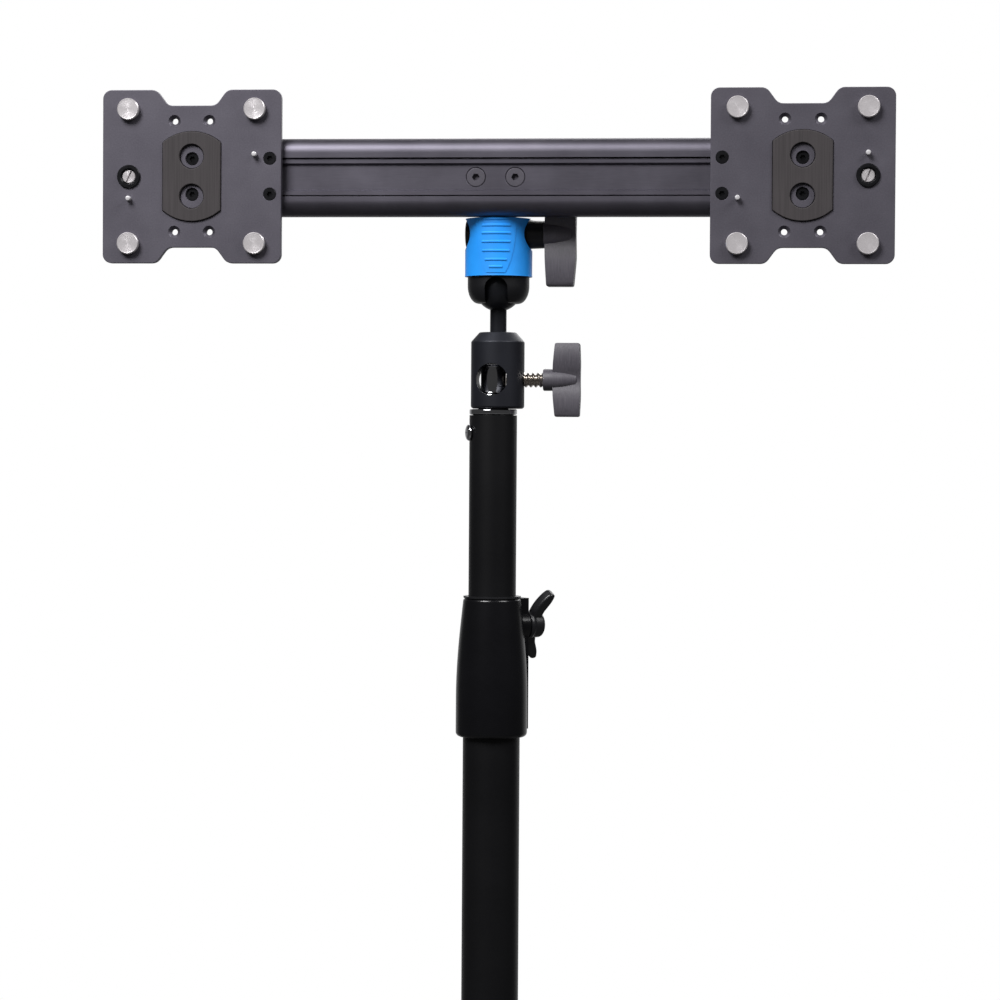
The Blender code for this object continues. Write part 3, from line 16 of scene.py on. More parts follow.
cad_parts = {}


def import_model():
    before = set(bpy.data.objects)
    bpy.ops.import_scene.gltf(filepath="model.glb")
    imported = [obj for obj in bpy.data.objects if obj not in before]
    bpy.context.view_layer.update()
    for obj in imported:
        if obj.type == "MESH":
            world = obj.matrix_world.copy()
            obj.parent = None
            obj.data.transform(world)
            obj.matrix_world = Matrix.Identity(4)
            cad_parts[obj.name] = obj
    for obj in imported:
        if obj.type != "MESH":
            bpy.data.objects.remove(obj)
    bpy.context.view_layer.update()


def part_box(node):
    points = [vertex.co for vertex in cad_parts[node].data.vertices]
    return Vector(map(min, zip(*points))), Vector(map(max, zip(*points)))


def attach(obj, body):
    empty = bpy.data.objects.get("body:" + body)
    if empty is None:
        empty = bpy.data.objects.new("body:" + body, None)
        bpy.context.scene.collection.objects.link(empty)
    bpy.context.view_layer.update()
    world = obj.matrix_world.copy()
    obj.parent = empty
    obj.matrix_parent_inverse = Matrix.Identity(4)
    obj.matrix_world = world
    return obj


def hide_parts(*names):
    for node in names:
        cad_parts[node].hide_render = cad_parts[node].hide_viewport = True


LOG = logging.getLogger("stand")
Pair = tuple[float, float]
MM = 0.001

# Points nearer to each other than this are one point
NO_GAP = 0.002 * MM

# The play between parts that fit into each other
ROOM = 0.3 * MM

# The directions that the pieces are modelled along, with the plates in front
RIGHT = Vector((1, 0, 0))
BACK = Vector((0, 1, 0))
FRONT = Vector((0, -1, 0))
UP = Vector((0, 0, 1))
ZERO = Vector((0, 0, 0))

# Places and sizes that pieces of more than one group share
CROSS_HEIGHT = 717.7 * MM
HEAD_X = 2.35 * MM
LOCK_HEIGHT = 793.8 * MM
BALL_RADIUS = 12.5 * MM

PLATE_SCREWS = ("pad_upper", "pad_lower", "edge_upper", "edge_lower")
BAR_SCREWS = ("bar_screw_left", "bar_screw_right")


class Join(Enum):
    """How one shape is put together with another."""

    CUT = "DIFFERENCE"
    WELD = "UNION"
    KEEP = "INTERSECT"


@dataclass(frozen=True)
class Span:
    """The box of one CAD node at rest."""

    low: Vector
    high: Vector

    @classmethod
    def of(cls, node: str) -> "Span":
        """The box of the node with this name."""
        low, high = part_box(node)
        return cls(low, high)

    @property
    def middle(self) -> Vector:
        """The centre of the box."""
        return (self.low + self.high) / 2

    @property
    def size(self) -> Vector:
        """The lengths of the box's sides."""
        return self.high - self.low


def linear(code: str) -> tuple[float, float, float, float]:
    """Turns an sRGB hex colour into linear values.

    Args:
        code: The colour as six hex digits.

    Returns:
        Red, green, blue and alpha for a shader socket.
    """
    parts = [int(code[i : i + 2], 16) / 255 for i in (0, 2, 4)]
    values = [c / 12.92 if c <= 0.04045 else ((c + 0.055) / 1.055) ** 2.4 for c in parts]
    return (values[0], values[1], values[2], 1.0)


def add_node(tree: NodeTree, kind: str, settings: dict, links: dict | None = None) -> Node:
    """Adds a shader node with its settings and its links.

    Args:
        tree: The node tree that gets the node.
        kind: The node's type name, without the leading ShaderNode.
        settings: Values by property name, socket name or socket number.
        links: Output sockets by the name or number of the input that each one feeds.

    Returns:
        The new node.
    """
    node = tree.nodes.new("ShaderNode" + kind)
    for key, value in settings.items():
        if isinstance(key, int) or key in node.inputs:
            node.inputs[key].default_value = value
        else:
            setattr(node, key, value)
    for key, output in (links or {}).items():
        tree.links.new(output, node.inputs[key])
    return node


@dataclass(frozen=True)
class Finish:
    """A surface as it was made: colour with slow drift, uneven gloss and a fine grain.

    The grain is drawn in the surface's height. Colours are sRGB hex, lengths are millimetres.
    """

    name: str
    colour: str
    shade: str
    roughness: float
    unevenness: float = 0.06
    metallic: float = 0.0
    specular: float = 0.5
    drift_mm: float = 25.0
    grain_mm: float = 0.8
    grain_depth_mm: float = 0.02
    stretch: tuple[float, float, float] = (1.0, 1.0, 1.0)
    wear: float = 0.25

    def material(self, centre: Vector = ZERO) -> Material:
        """Builds the finish as a Blender material.

        Args:
            centre: The point that a pattern on the piece is centred on.

        Returns:
            The new material.
        """
        made = bpy.data.materials.new(self.name)
        made.use_nodes = True
        tree = made.node_tree
        tree.nodes.clear()
        place = add_node(tree, "TexCoord", {})
        own = {"Vector": place.outputs["Object"]}
        centred = add_node(tree, "Mapping", {"Location": tuple(-centre)}, own)
        point = centred.outputs["Vector"]
        drift = self.noise(tree, point, self.drift_mm, 3.0)
        grain = self.grain(tree, point)
        colour = add_node(
            tree,
            "Mix",
            {"data_type": "RGBA", 6: linear(self.shade), 7: linear(self.colour)},
            {0: self.blend_of(tree, drift, grain)},
        )
        limits = {"To Min": self.roughness - self.unevenness, "To Max": self.roughness + self.unevenness}
        gloss = add_node(tree, "MapRange", limits, {"Value": drift})
        depth = {"Strength": 1.0, "Distance": self.grain_depth_mm * MM}
        bump = add_node(tree, "Bump", depth, {"Height": grain})
        shader = add_node(
            tree,
            "BsdfPrincipled",
            {"Metallic": self.metallic, "Specular IOR Level": self.specular},
            {
                "Base Color": self.seen(tree, colour.outputs[2]),
                "Roughness": gloss.outputs["Result"],
                "Normal": bump.outputs["Normal"],
            },
        )
        add_node(tree, "OutputMaterial", {}, {"Surface": shader.outputs["BSDF"]})
        return made

    def seen(self, tree: NodeTree, colour: NodeSocket) -> NodeSocket:
        """The colour that the shader gets; a finish that bounces less light than it shows changes it."""
        return colour

    def noise(self, tree: NodeTree, point: NodeSocket, size_mm: float, detail: float) -> NodeSocket:
        """Noise with blotches of a real size.

        Args:
            tree: The material's node tree.
            point: The coordinates that the noise reads.
            size_mm: The blotches' width.
            detail: How many finer layers are added.

        Returns:
            A value from 0 to 1.
        """
        look = {"Scale": 1 / (size_mm * MM), "Detail": detail, "Roughness": 0.55}
        blotches = add_node(tree, "TexNoise", look, {"Vector": point})
        return blotches.outputs["Fac"]

    def grain(self, tree: NodeTree, point: NodeSocket) -> NodeSocket:
        """The fine grain's height; a kind of finish with its own pattern replaces it."""
        drawn = add_node(tree, "Mapping", {"Scale": self.stretch}, {"Vector": point})
        return self.noise(tree, drawn.outputs["Vector"], self.grain_mm, 2.0)

    def blend_of(self, tree: NodeTree, drift: NodeSocket, grain: NodeSocket) -> NodeSocket:
        """How much of the main colour shows: the slow drift, with some of the grain in it.

        Args:
            tree: The material's node tree.
            drift: The slow drift, from 0 to 1.
            grain: The grain's height.

        Returns:
            The main colour's share, from 0 to 1.
        """
        both = add_node(tree, "Mix", {"data_type": "FLOAT", 0: self.wear}, {2: drift, 3: grain})
        limits = {"From Min": 0.3, "From Max": 0.7}
        sharper = add_node(tree, "MapRange", limits, {"Value": both.outputs[0]})
        return sharper.outputs["Result"]


@dataclass(frozen=True)
class TurnedFinish(Finish):
    """Lathe-cut metal: fine rings round the piece's own axis, given as a wave direction."""

    rings: str = "Y"
    ring_mm: float = 0.35

    def grain(self, tree: NodeTree, point: NodeSocket) -> NodeSocket:
        """Concentric tool marks, a little broken."""
        marks = add_node(
            tree,
            "TexWave",
            {
                "wave_type": "RINGS",
                "rings_direction": self.rings,
                "Scale": 0.314 / (self.ring_mm * MM),
                "Distortion": 0.6,
                "Detail": 2.0,
                "Detail Scale": 3.0,
            },
            {"Vector": point},
        )
        return marks.outputs["Fac"]


@dataclass(frozen=True)
class StagePaper(Finish):
    """Studio paper that looks pale but throws little light back up at the object."""

    bounce: str = "4A4A4A"

    def seen(self, tree: NodeTree, colour: NodeSocket) -> NodeSocket:
        """Pale where the camera looks, grey for light that bounces.

        Args:
            tree: The material's node tree.
            colour: The paper's own colour.

        Returns:
            The colour for the shader.
        """
        path = add_node(tree, "LightPath", {})
        mixed = add_node(
            tree,
            "Mix",
            {"data_type": "RGBA", 6: linear(self.bounce)},
            {0: path.outputs["Is Camera Ray"], 7: colour},
        )
        return mixed.outputs[2]


@dataclass(frozen=True)
class MouldTexture(Finish):
    """Plastic from a spark-eroded mould: small rounded pits side by side."""

    def grain(self, tree: NodeTree, point: NodeSocket) -> NodeSocket:
        """Rounded cells of the mould's texture.

        Args:
            tree: The material's node tree.
            point: The coordinates that the pattern reads.

        Returns:
            The texture's height.
        """
        look = {"feature": "SMOOTH_F1", "Scale": 1 / (self.grain_mm * MM), "Smoothness": 0.8}
        cells = add_node(tree, "TexVoronoi", look, {"Vector": point})
        return cells.outputs["Distance"]


# Aluminium of the plates, blasted with fine beads, then anodised dark grey: soft sheen, fine sparkle
# of the blast, hardly any drift of colour
ANODISED = Finish(
    "blasted_anodised_aluminium", "615E67", "535059", 0.52, 0.04, 0.75, grain_mm=0.8, grain_depth_mm=0.03,
    wear=0.45,
)
# The bar's extrusion, anodised alike: faint die lines along its length
DRAWN_ANODISED = Finish(
    "drawn_anodised_aluminium", "67646E", "59565F", 0.48, 0.04, 0.93, grain_mm=0.5, grain_depth_mm=0.014,
    stretch=(0.06, 1.0, 1.0),
)
# Steel tube with baked satin paint: deep black, slight orange peel about 2 mm wide
PAINTED_TUBE = Finish(
    "satin_painted_steel_tube", "0F0F11", "0A0A0C", 0.38, 0.05, specular=0.32, grain_mm=2.2,
    grain_depth_mm=0.018, drift_mm=60.0,
)
# Machined aluminium of the receiver, clamp ring and block, black anodised: softer than paint, cool sheen
BLACK_ANODISED = Finish(
    "satin_black_anodised_aluminium", "23252D", "1D1E24", 0.48, 0.05, 0.5, grain_mm=0.35,
    grain_depth_mm=0.012,
)
# Polished ABS moulding of the collar: near mirror gloss on black
GLOSS_ABS = Finish(
    "glossy_black_abs", "0E0E11", "09090B", 0.24, 0.03, specular=0.4, grain_mm=3.5, grain_depth_mm=0.012,
    drift_mm=40.0,
)
# Semi-gloss ABS of the wing knob, the end caps, the head's side cap and the collar's bush: plain black
# with a soft highlight
BLACK_ABS = Finish(
    "semi_gloss_black_abs", "1C1C1F", "151517", 0.34, 0.04, grain_mm=1.4, grain_depth_mm=0.02
)
# Glass-filled nylon of the T-knobs, satin, with the upright tool marks of its mould, 0.5 mm wide
KNOB_NYLON = Finish(
    "tool_marked_nylon_knob", "524F56", "403D44", 0.46, 0.05, grain_mm=0.5, grain_depth_mm=0.05,
    stretch=(1.0, 1.0, 0.05), wear=0.6, drift_mm=12.0,
)
# Moulded rubber of the feet and the lower tube's plug: matt, soft grey-black
FOOT_RUBBER = Finish(
    "moulded_black_rubber", "1B1B1B", "141414", 0.78, 0.06, grain_mm=0.9, grain_depth_mm=0.05
)
# Glass-filled nylon of the ball housing: satin, with a fine even texture
HOUSING_NYLON = MouldTexture(
    "textured_black_nylon", "161619", "101012", 0.38, 0.04, specular=0.4, grain_mm=0.6, grain_depth_mm=0.02,
    drift_mm=15.0,
)
# Steel ball and stem, blackened and burnished: cool grey sheen
BLACKENED_BALL = Finish(
    "blackened_steel_ball", "26272C", "1D1E22", 0.30, 0.04, 0.5, grain_mm=0.8, grain_depth_mm=0.008,
    drift_mm=10.0,
)
# Friction rubber of the pads, calendered sheet: brown-black with a vertical grain of 0.6 mm
PAD_RUBBER = Finish(
    "grained_friction_rubber", "353032", "252022", 0.72, 0.06, grain_mm=0.6, grain_depth_mm=0.03,
    stretch=(1.0, 1.0, 0.02), wear=0.75, drift_mm=14.0,
)
# Dyed acetal of the locking sleeve: clean bright blue, satin
BLUE_ACETAL = Finish(
    "satin_blue_acetal", "2196F3", "1A87E2", 0.42, 0.04, grain_mm=0.7, grain_depth_mm=0.012, drift_mm=18.0
)
# Chrome plate on the spigot and its screw, polished: thin swirls only
CHROME = Finish(
    "polished_chrome_plate", "D9D9DC", "CFCFD3", 0.10, 0.03, 1.0, grain_mm=6.0, grain_depth_mm=0.01
)
# Nickel plate on the T-screw and the lock shaft: warmer and duller than chrome
NICKEL = Finish(
    "nickel_plated_steel", "D3CCC4", "C2BAB2", 0.20, 0.05, 1.0, grain_mm=1.0, grain_depth_mm=0.01
)
# Turned steel of the corner discs, slotted screws and lock plunger: bright rings of tool marks, drawn
# 0.35 mm apart, coarser than real to show
TURNED_STEEL = TurnedFinish(
    "turned_bright_steel", "E6E1E3", "C9C4C7", 0.32, 0.05, 0.6, grain_depth_mm=0.02, wear=0.7, drift_mm=6.0
)
# Ground steel of the locating pins: bright, a little brushed
DOWEL_STEEL = Finish(
    "ground_dowel_steel", "E4E2E4", "CFCDD0", 0.34, 0.05, 0.5, grain_mm=0.4, grain_depth_mm=0.01
)
# Grey phosphate on the two big block screws: matt, as dark as the bar round them
GREY_PHOSPHATE = Finish(
    "grey_phosphated_steel", "625F67", "524F57", 0.52, 0.05, 0.75, grain_mm=0.5, grain_depth_mm=0.02,
    wear=0.5,
)
# Black oxide on small screws, retaining rings and the top plate: thin, oily dark sheen
BLACK_OXIDE = Finish(
    "black_oxide_steel", "202023", "17171A", 0.32, 0.06, 0.6, grain_mm=0.6, grain_depth_mm=0.01,
    drift_mm=5.0,
)
# Natural nylon of the riser's plug and the ball's cup: pale grey, dull
GREY_NYLON = Finish("natural_grey_nylon", "8E8E8E", "7C7C7C", 0.55, 0.05, grain_mm=1.2, grain_depth_mm=0.02)
# Brass of the brake pad: clean yellow metal
BRASS = Finish("plain_brass", "CDA45A", "B98F48", 0.28, 0.05, 1.0, grain_mm=0.8, grain_depth_mm=0.01)
# Matt pale paper of the studio floor: hardly any texture
STUDIO_PAPER = StagePaper(
    "matt_studio_paper", "EDEDEC", "E9E9E8", 0.85, 0.03, grain_mm=1.5, grain_depth_mm=0.01
)


@dataclass
class Bench:
    """The modelling tools, used on one piece at a time as by hand.

    Every shape starts as one point that is extruded along a line of the piece, so its place is in
    its mesh and its object stays at the origin.
    """

    steps: int = 64

    def clear(self) -> None:
        """Leaves edit mode and deselects everything."""
        if bpy.context.object and bpy.context.object.mode != "OBJECT":
            bpy.ops.object.mode_set(mode="OBJECT")
        bpy.ops.object.select_all(action="DESELECT")

    def take(self, piece: Object) -> None:
        """Selects one piece and makes it the active one.

        Args:
            piece: The piece.
        """
        self.clear()
        piece.select_set(True)
        bpy.context.view_layer.objects.active = piece

    def line(self, name: str, points: list[Vector]) -> Object:
        """Draws a line of vertices, left in edit mode with all of it selected.

        Args:
            name: The new object's name.
            points: The line's points.

        Returns:
            The new object.
        """
        self.clear()
        bpy.ops.mesh.primitive_plane_add(size=MM, location=(0, 0, 0))
        piece = bpy.context.object
        piece.name = name
        piece.data.name = name
        bpy.ops.object.mode_set(mode="EDIT")
        bpy.ops.mesh.select_mode(type="VERT")
        bpy.ops.mesh.select_all(action="SELECT")
        bpy.ops.mesh.merge(type="CENTER")
        bpy.ops.transform.translate(value=points[0])
        for before, after in zip(points, points[1:]):
            bpy.ops.mesh.extrude_region_move(TRANSFORM_OT_translate={"value": after - before})
        bpy.ops.mesh.select_all(action="SELECT")
        return piece

    def tidy(self) -> None:
        """Merges doubles and turns all faces outwards, then leaves edit mode."""
        bpy.ops.mesh.select_all(action="SELECT")
        bpy.ops.mesh.remove_doubles(threshold=NO_GAP)
        bpy.ops.mesh.normals_make_consistent(inside=False)
        bpy.ops.object.mode_set(mode="OBJECT")

    def turn(
        self,
        name: str,
        profile: list[Pair],
        centre: Vector,
        axis: Vector = UP,
        steps: int | None = None,
    ) -> Object:
        """Turns a solid as on a lathe.

        Args:
            name: The new object's name.
            profile: Radius and height of each point; it starts and ends on the axis, or is a ring
                whose last point is its first.
            centre: The point of the axis at height 0.
            axis: The direction in which the height grows.
            steps: Facets round the axis.

        Returns:
            The new object.
        """
        along = axis.normalized()
        aside = RIGHT if abs(along.x) < 0.7 else BACK
        out = (aside - along * aside.dot(along)).normalized()
        piece = self.line(name, [centre + out * r + along * h for r, h in profile])
        bpy.ops.mesh.spin(steps=steps or self.steps, angle=2 * math.pi, center=centre, axis=along)
        self.tidy()
        return piece

    def drill(
        self,
        radius: float,
        low: float,
        high: float,
        centre: Vector,
        axis: Vector = UP,
        steps: int | None = None,
    ) -> Object:
        """A plain cylinder, for a hole, a peg or, with six facets, a key's socket.

        Args:
            radius: Its radius.
            low: Its start along the axis.
            high: Its end along the axis.
            centre: The point of the axis at height 0.
            axis: The direction in which the height grows.
            steps: Facets round the axis.

        Returns:
            The new object.
        """
        return self.turn("drill", rod(radius, low, high), centre, axis, steps)

    def arc_of(
        self,
        name: str,
        profile: list[Pair],
        centre: Vector,
        sweep: float,
        steps: int = 24,
    ) -> Object:
        """Sweeps a closed profile part of the way round the vertical axis, centred on the front.

        Args:
            name: The new object's name.
            profile: Radius and height of the profile's corners.
            centre: The point of the axis at height 0.
            sweep: The angle in radians.
            steps: Facets along the sweep.

        Returns:
            The new object, closed at both ends.
        """
        start = Matrix.Rotation(sweep / 2, 3, "Z") @ FRONT
        piece = self.line(name, [centre + start * r + UP * h for r, h in profile])
        bpy.ops.mesh.edge_face_add()
        bpy.ops.mesh.spin(steps=steps, angle=sweep, center=centre, axis=(0, 0, 1))
        self.tidy()
        return piece

    def thread(self, name: str, sizes: tuple[float, float, float], reach: Pair, place: Matrix) -> Object:
        """Rolls a threaded rod about the Z axis, then moves it to its place.

        Args:
            name: The new object's name.
            sizes: Outer radius, depth of the thread and pitch.
            reach: The lowest and highest point along its axis.
            place: Where its axis goes.

        Returns:
            The new object, cut square at both ends.
        """
        outer, depth, pitch = sizes
        low, high = reach
        root = outer - depth
        flank = [(root, 0.0), (outer, 0.36), (outer, 0.5), (root, 0.86), (root, 1.0)]
        screw = self.line(name, [Vector((r, 0, low + (t - 1.5) * pitch)) for r, t in flank])
        bpy.ops.object.mode_set(mode="OBJECT")
        turns = math.ceil((high - low) / pitch) + 2
        self.apply(
            screw,
            "SCREW",
            axis="Z",
            angle=2 * math.pi,
            screw_offset=pitch,
            iterations=turns,
            steps=40,
            render_steps=40,
            use_merge_vertices=True,
            merge_threshold=NO_GAP,
        )
        bpy.ops.object.mode_set(mode="EDIT")
        for height, upward in ((low, False), (high, True)):
            bpy.ops.mesh.select_all(action="SELECT")
            bpy.ops.mesh.bisect(
                plane_co=(0, 0, height),
                plane_no=(0, 0, 1),
                use_fill=True,
                clear_outer=upward,
                clear_inner=not upward,
            )
        self.tidy()
        screw.data.transform(place)
        return screw

    def push(self, name: str, outline: list[Vector], along: Vector) -> Object:
        """Fills a closed outline and pushes it to a solid.

        Args:
            name: The new object's name.
            outline: The outline's points, in a plane.
            along: How far and in which direction it is pushed.

        Returns:
            The new object.
        """
        piece = self.line(name, outline)
        bpy.ops.mesh.edge_face_add()
        bpy.ops.mesh.extrude_region_move(TRANSFORM_OT_translate={"value": along})
        self.tidy()
        return piece

    def apply(self, piece: Object, kind: str, **settings: object) -> None:
        """Adds a modifier with its settings and applies it.

        Args:
            piece: The piece.
            kind: The modifier's type.
            settings: Its settings by name.
        """
        self.take(piece)
        bpy.ops.object.modifier_add(type=kind)
        modifier = piece.modifiers[-1]
        for key, value in settings.items():
            setattr(modifier, key, value)
        bpy.ops.object.modifier_apply(modifier=modifier.name)

    def merge(self, pieces: list[Object]) -> Object:
        """Joins loose shapes to one object without changing their faces.

        Args:
            pieces: The shapes; the first takes in the others.

        Returns:
            The first shape.
        """
        self.take(pieces[0])
        for piece in pieces[1:]:
            piece.select_set(True)
        if len(pieces) > 1:
            bpy.ops.object.join()
        return pieces[0]

    def combine(self, piece: Object, *tools: Object, how: Join = Join.CUT) -> Object:
        """Cuts, welds or keeps a piece with other shapes, which are used up.

        Args:
            piece: The piece that is changed.
            tools: Shapes that don't touch each other, or none.
            how: What is done with them.

        Returns:
            The same piece.
        """
        if not tools:
            return piece
        tool = self.merge(list(tools))
        self.apply(piece, "BOOLEAN", object=tool, operation=how.value, solver="EXACT")
        bpy.data.objects.remove(tool, do_unlink=True)
        return piece

    def mend(self, piece: Object, gap: float = 0.02 * MM) -> Object:
        """Takes out the slivers that a cut leaves behind and closes what they leave open.

        Args:
            piece: The piece.
            gap: Edges and faces smaller than this go.

        Returns:
            The same piece.
        """
        self.take(piece)
        bpy.ops.object.mode_set(mode="EDIT")
        bpy.ops.mesh.select_mode(type="VERT")
        bpy.ops.mesh.select_all(action="SELECT")
        bpy.ops.mesh.dissolve_degenerate(threshold=gap)
        bpy.ops.mesh.select_all(action="SELECT")
        bpy.ops.mesh.fill_holes(sides=6)
        self.tidy()
        return piece

    def ease(self, piece: Object, width: float, segments: int = 2, angle: float = 35.0) -> Object:
        """Rounds the piece's sharp edges.

        Args:
            piece: The piece.
            width: How far from the edge the rounding starts.
            segments: Facets across it.
            angle: Edges sharper than this, in degrees, are rounded.

        Returns:
            The same piece.
        """
        self.apply(
            piece,
            "BEVEL",
            width=width,
            segments=segments,
            limit_method="ANGLE",
            angle_limit=math.radians(angle),
            use_clamp_overlap=True,
        )
        return piece

    def smooth(self, piece: Object, angle: float = 32.0) -> Object:
        """Shades the piece smooth, with edges sharper than the angle left crisp.

        Args:
            piece: The piece.
            angle: The angle in degrees.

        Returns:
            The same piece.
        """
        self.take(piece)
        bpy.ops.object.shade_smooth_by_angle(angle=math.radians(angle))
        self.apply(piece, "WEIGHTED_NORMAL", keep_sharp=True, weight=60)
        return piece

    def copy(self, piece: Object, name: str, way: Matrix) -> Object:
        """Copies a finished shape with its own mesh, free of any body, and moves the copy in that mesh.

        Args:
            piece: The piece.
            name: The copy's name.
            way: How the copy is moved.

        Returns:
            The copy.
        """
        twin = piece.copy()
        twin.parent = None
        twin.matrix_world = Matrix()
        for note in list(twin.keys()):
            del twin[note]
        twin.data = piece.data.copy()
        twin.name = name
        twin.data.name = name
        bpy.context.scene.collection.objects.link(twin)
        twin.data.transform(way)
        return twin


@dataclass
class Assembly:
    """A group of pieces on one stand; the groups of this object are made from it."""

    bench: Bench = field(default_factory=Bench)

    def dress(
        self,
        piece: Object,
        finish: Finish,
        body: str,
        slot: str,
        nodes: tuple[str, ...] = (),
        centre: Vector = ZERO,
    ) -> Object:
        """Finishes a new piece: its material, the body it rides on and the nodes it stands for.

        Args:
            piece: The piece.
            finish: Its finish.
            body: The CAD body that carries it.
            slot: The name of a material slot; not used.
            nodes: The CAD nodes that it replaces.
            centre: The point that the finish's pattern is centred on.

        Returns:
            The same piece.
        """
        self.bench.smooth(piece)
        piece.data.materials.clear()
        piece.data.materials.append(finish.material(centre))
        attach(piece, body)
        if nodes:
            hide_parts(*nodes)
        LOG.info("%s: %d faces, rides on %s", piece.name, len(piece.data.polygons), body)
        return piece

    def axis(self) -> Vector:
        """The foot of the column's axis."""
        middle = Span.of("lower_tube").middle
        return Vector((middle.x, middle.y, 0))

    def redress(self, node: str, finish: Finish) -> None:
        """Gives a CAD node that keeps its shape a better material.

        Args:
            node: The node's name.
            finish: Its finish.
        """
        piece = bpy.data.objects[node]
        piece.data.materials.clear()
        piece.data.materials.append(finish.material(Span.of(node).middle))
        LOG.info("%s: kept, %s", node, finish.name)


def rounded(points: list[Pair], radius: float, steps: int = 3) -> list[Pair]:
    """Rounds the inner corners of an open profile.

    Args:
        points: The profile's corners.
        radius: The rounding's radius, made smaller where a side is short.
        steps: Points along each rounding, less one.

    Returns:
        The new profile.
    """
    made = [points[0]]
    for before, corner, after in zip(points, points[1:], points[2:]):
        a, b, c = Vector(before), Vector(corner), Vector(after)
        to_a, to_c = a - b, c - b
        if min(to_a.length, to_c.length) < NO_GAP:
            made.append(corner)
            continue
        reach = min(radius, to_a.length * 0.45, to_c.length * 0.45)
        start, end = b + to_a.normalized() * reach, b + to_c.normalized() * reach
        for i in range(steps + 1):
            t = i / steps
            point = start * (1 - t) ** 2 + b * 2 * t * (1 - t) + end * t**2
            made.append((point.x, point.y))
    made.append(points[-1])
    return made


def ring(points: list[Pair]) -> list[Pair]:
    """Closes a profile that doesn't touch the axis."""
    return points + [points[0]]


def rod(radius: float, low: float, high: float) -> list[Pair]:
    """The profile of a plain cylinder."""
    return [(0, low), (radius, low), (radius, high), (0, high)]


def pipe(inner: float, outer: float, low: float, high: float) -> list[Pair]:
    """The profile of a plain tube."""
    return ring([(inner, low), (outer, low), (outer, high), (inner, high)])


def arc(centre: Pair, radius: float, start: float, end: float, steps: int) -> list[Pair]:
    """Points along an arc, angles in degrees."""
    angles = [math.radians(start + (end - start) * i / steps) for i in range(steps + 1)]
    return [(centre[0] + radius * math.cos(a), centre[1] + radius * math.sin(a)) for a in angles]


def mirrored(half: list[Pair]) -> list[Pair]:
    """Completes an outline with its mirror image below."""
    return half + [(x, -z) for x, z in reversed(half)]


def both_sides(half: list[Pair]) -> list[Pair]:
    """Completes an outline with its mirror image at the other side."""
    return half + [(-x, z) for x, z in reversed(half)]


def in_mm(points: list[Pair]) -> list[Pair]:
    """Turns points that are written in millimetres into metres."""
    return [(a * MM, b * MM) for a, b in points]


def laid(start: Vector, across: Vector, up: Vector, outline: list[Pair]) -> list[Vector]:
    """Lays a flat outline in space."""
    return [start + across * a + up * b for a, b in outline]


def heading(degrees: float) -> Vector:
    """The level direction at an angle from the right, seen from above."""
    turn = math.radians(degrees)
    return Vector((math.cos(turn), math.sin(turn), 0))


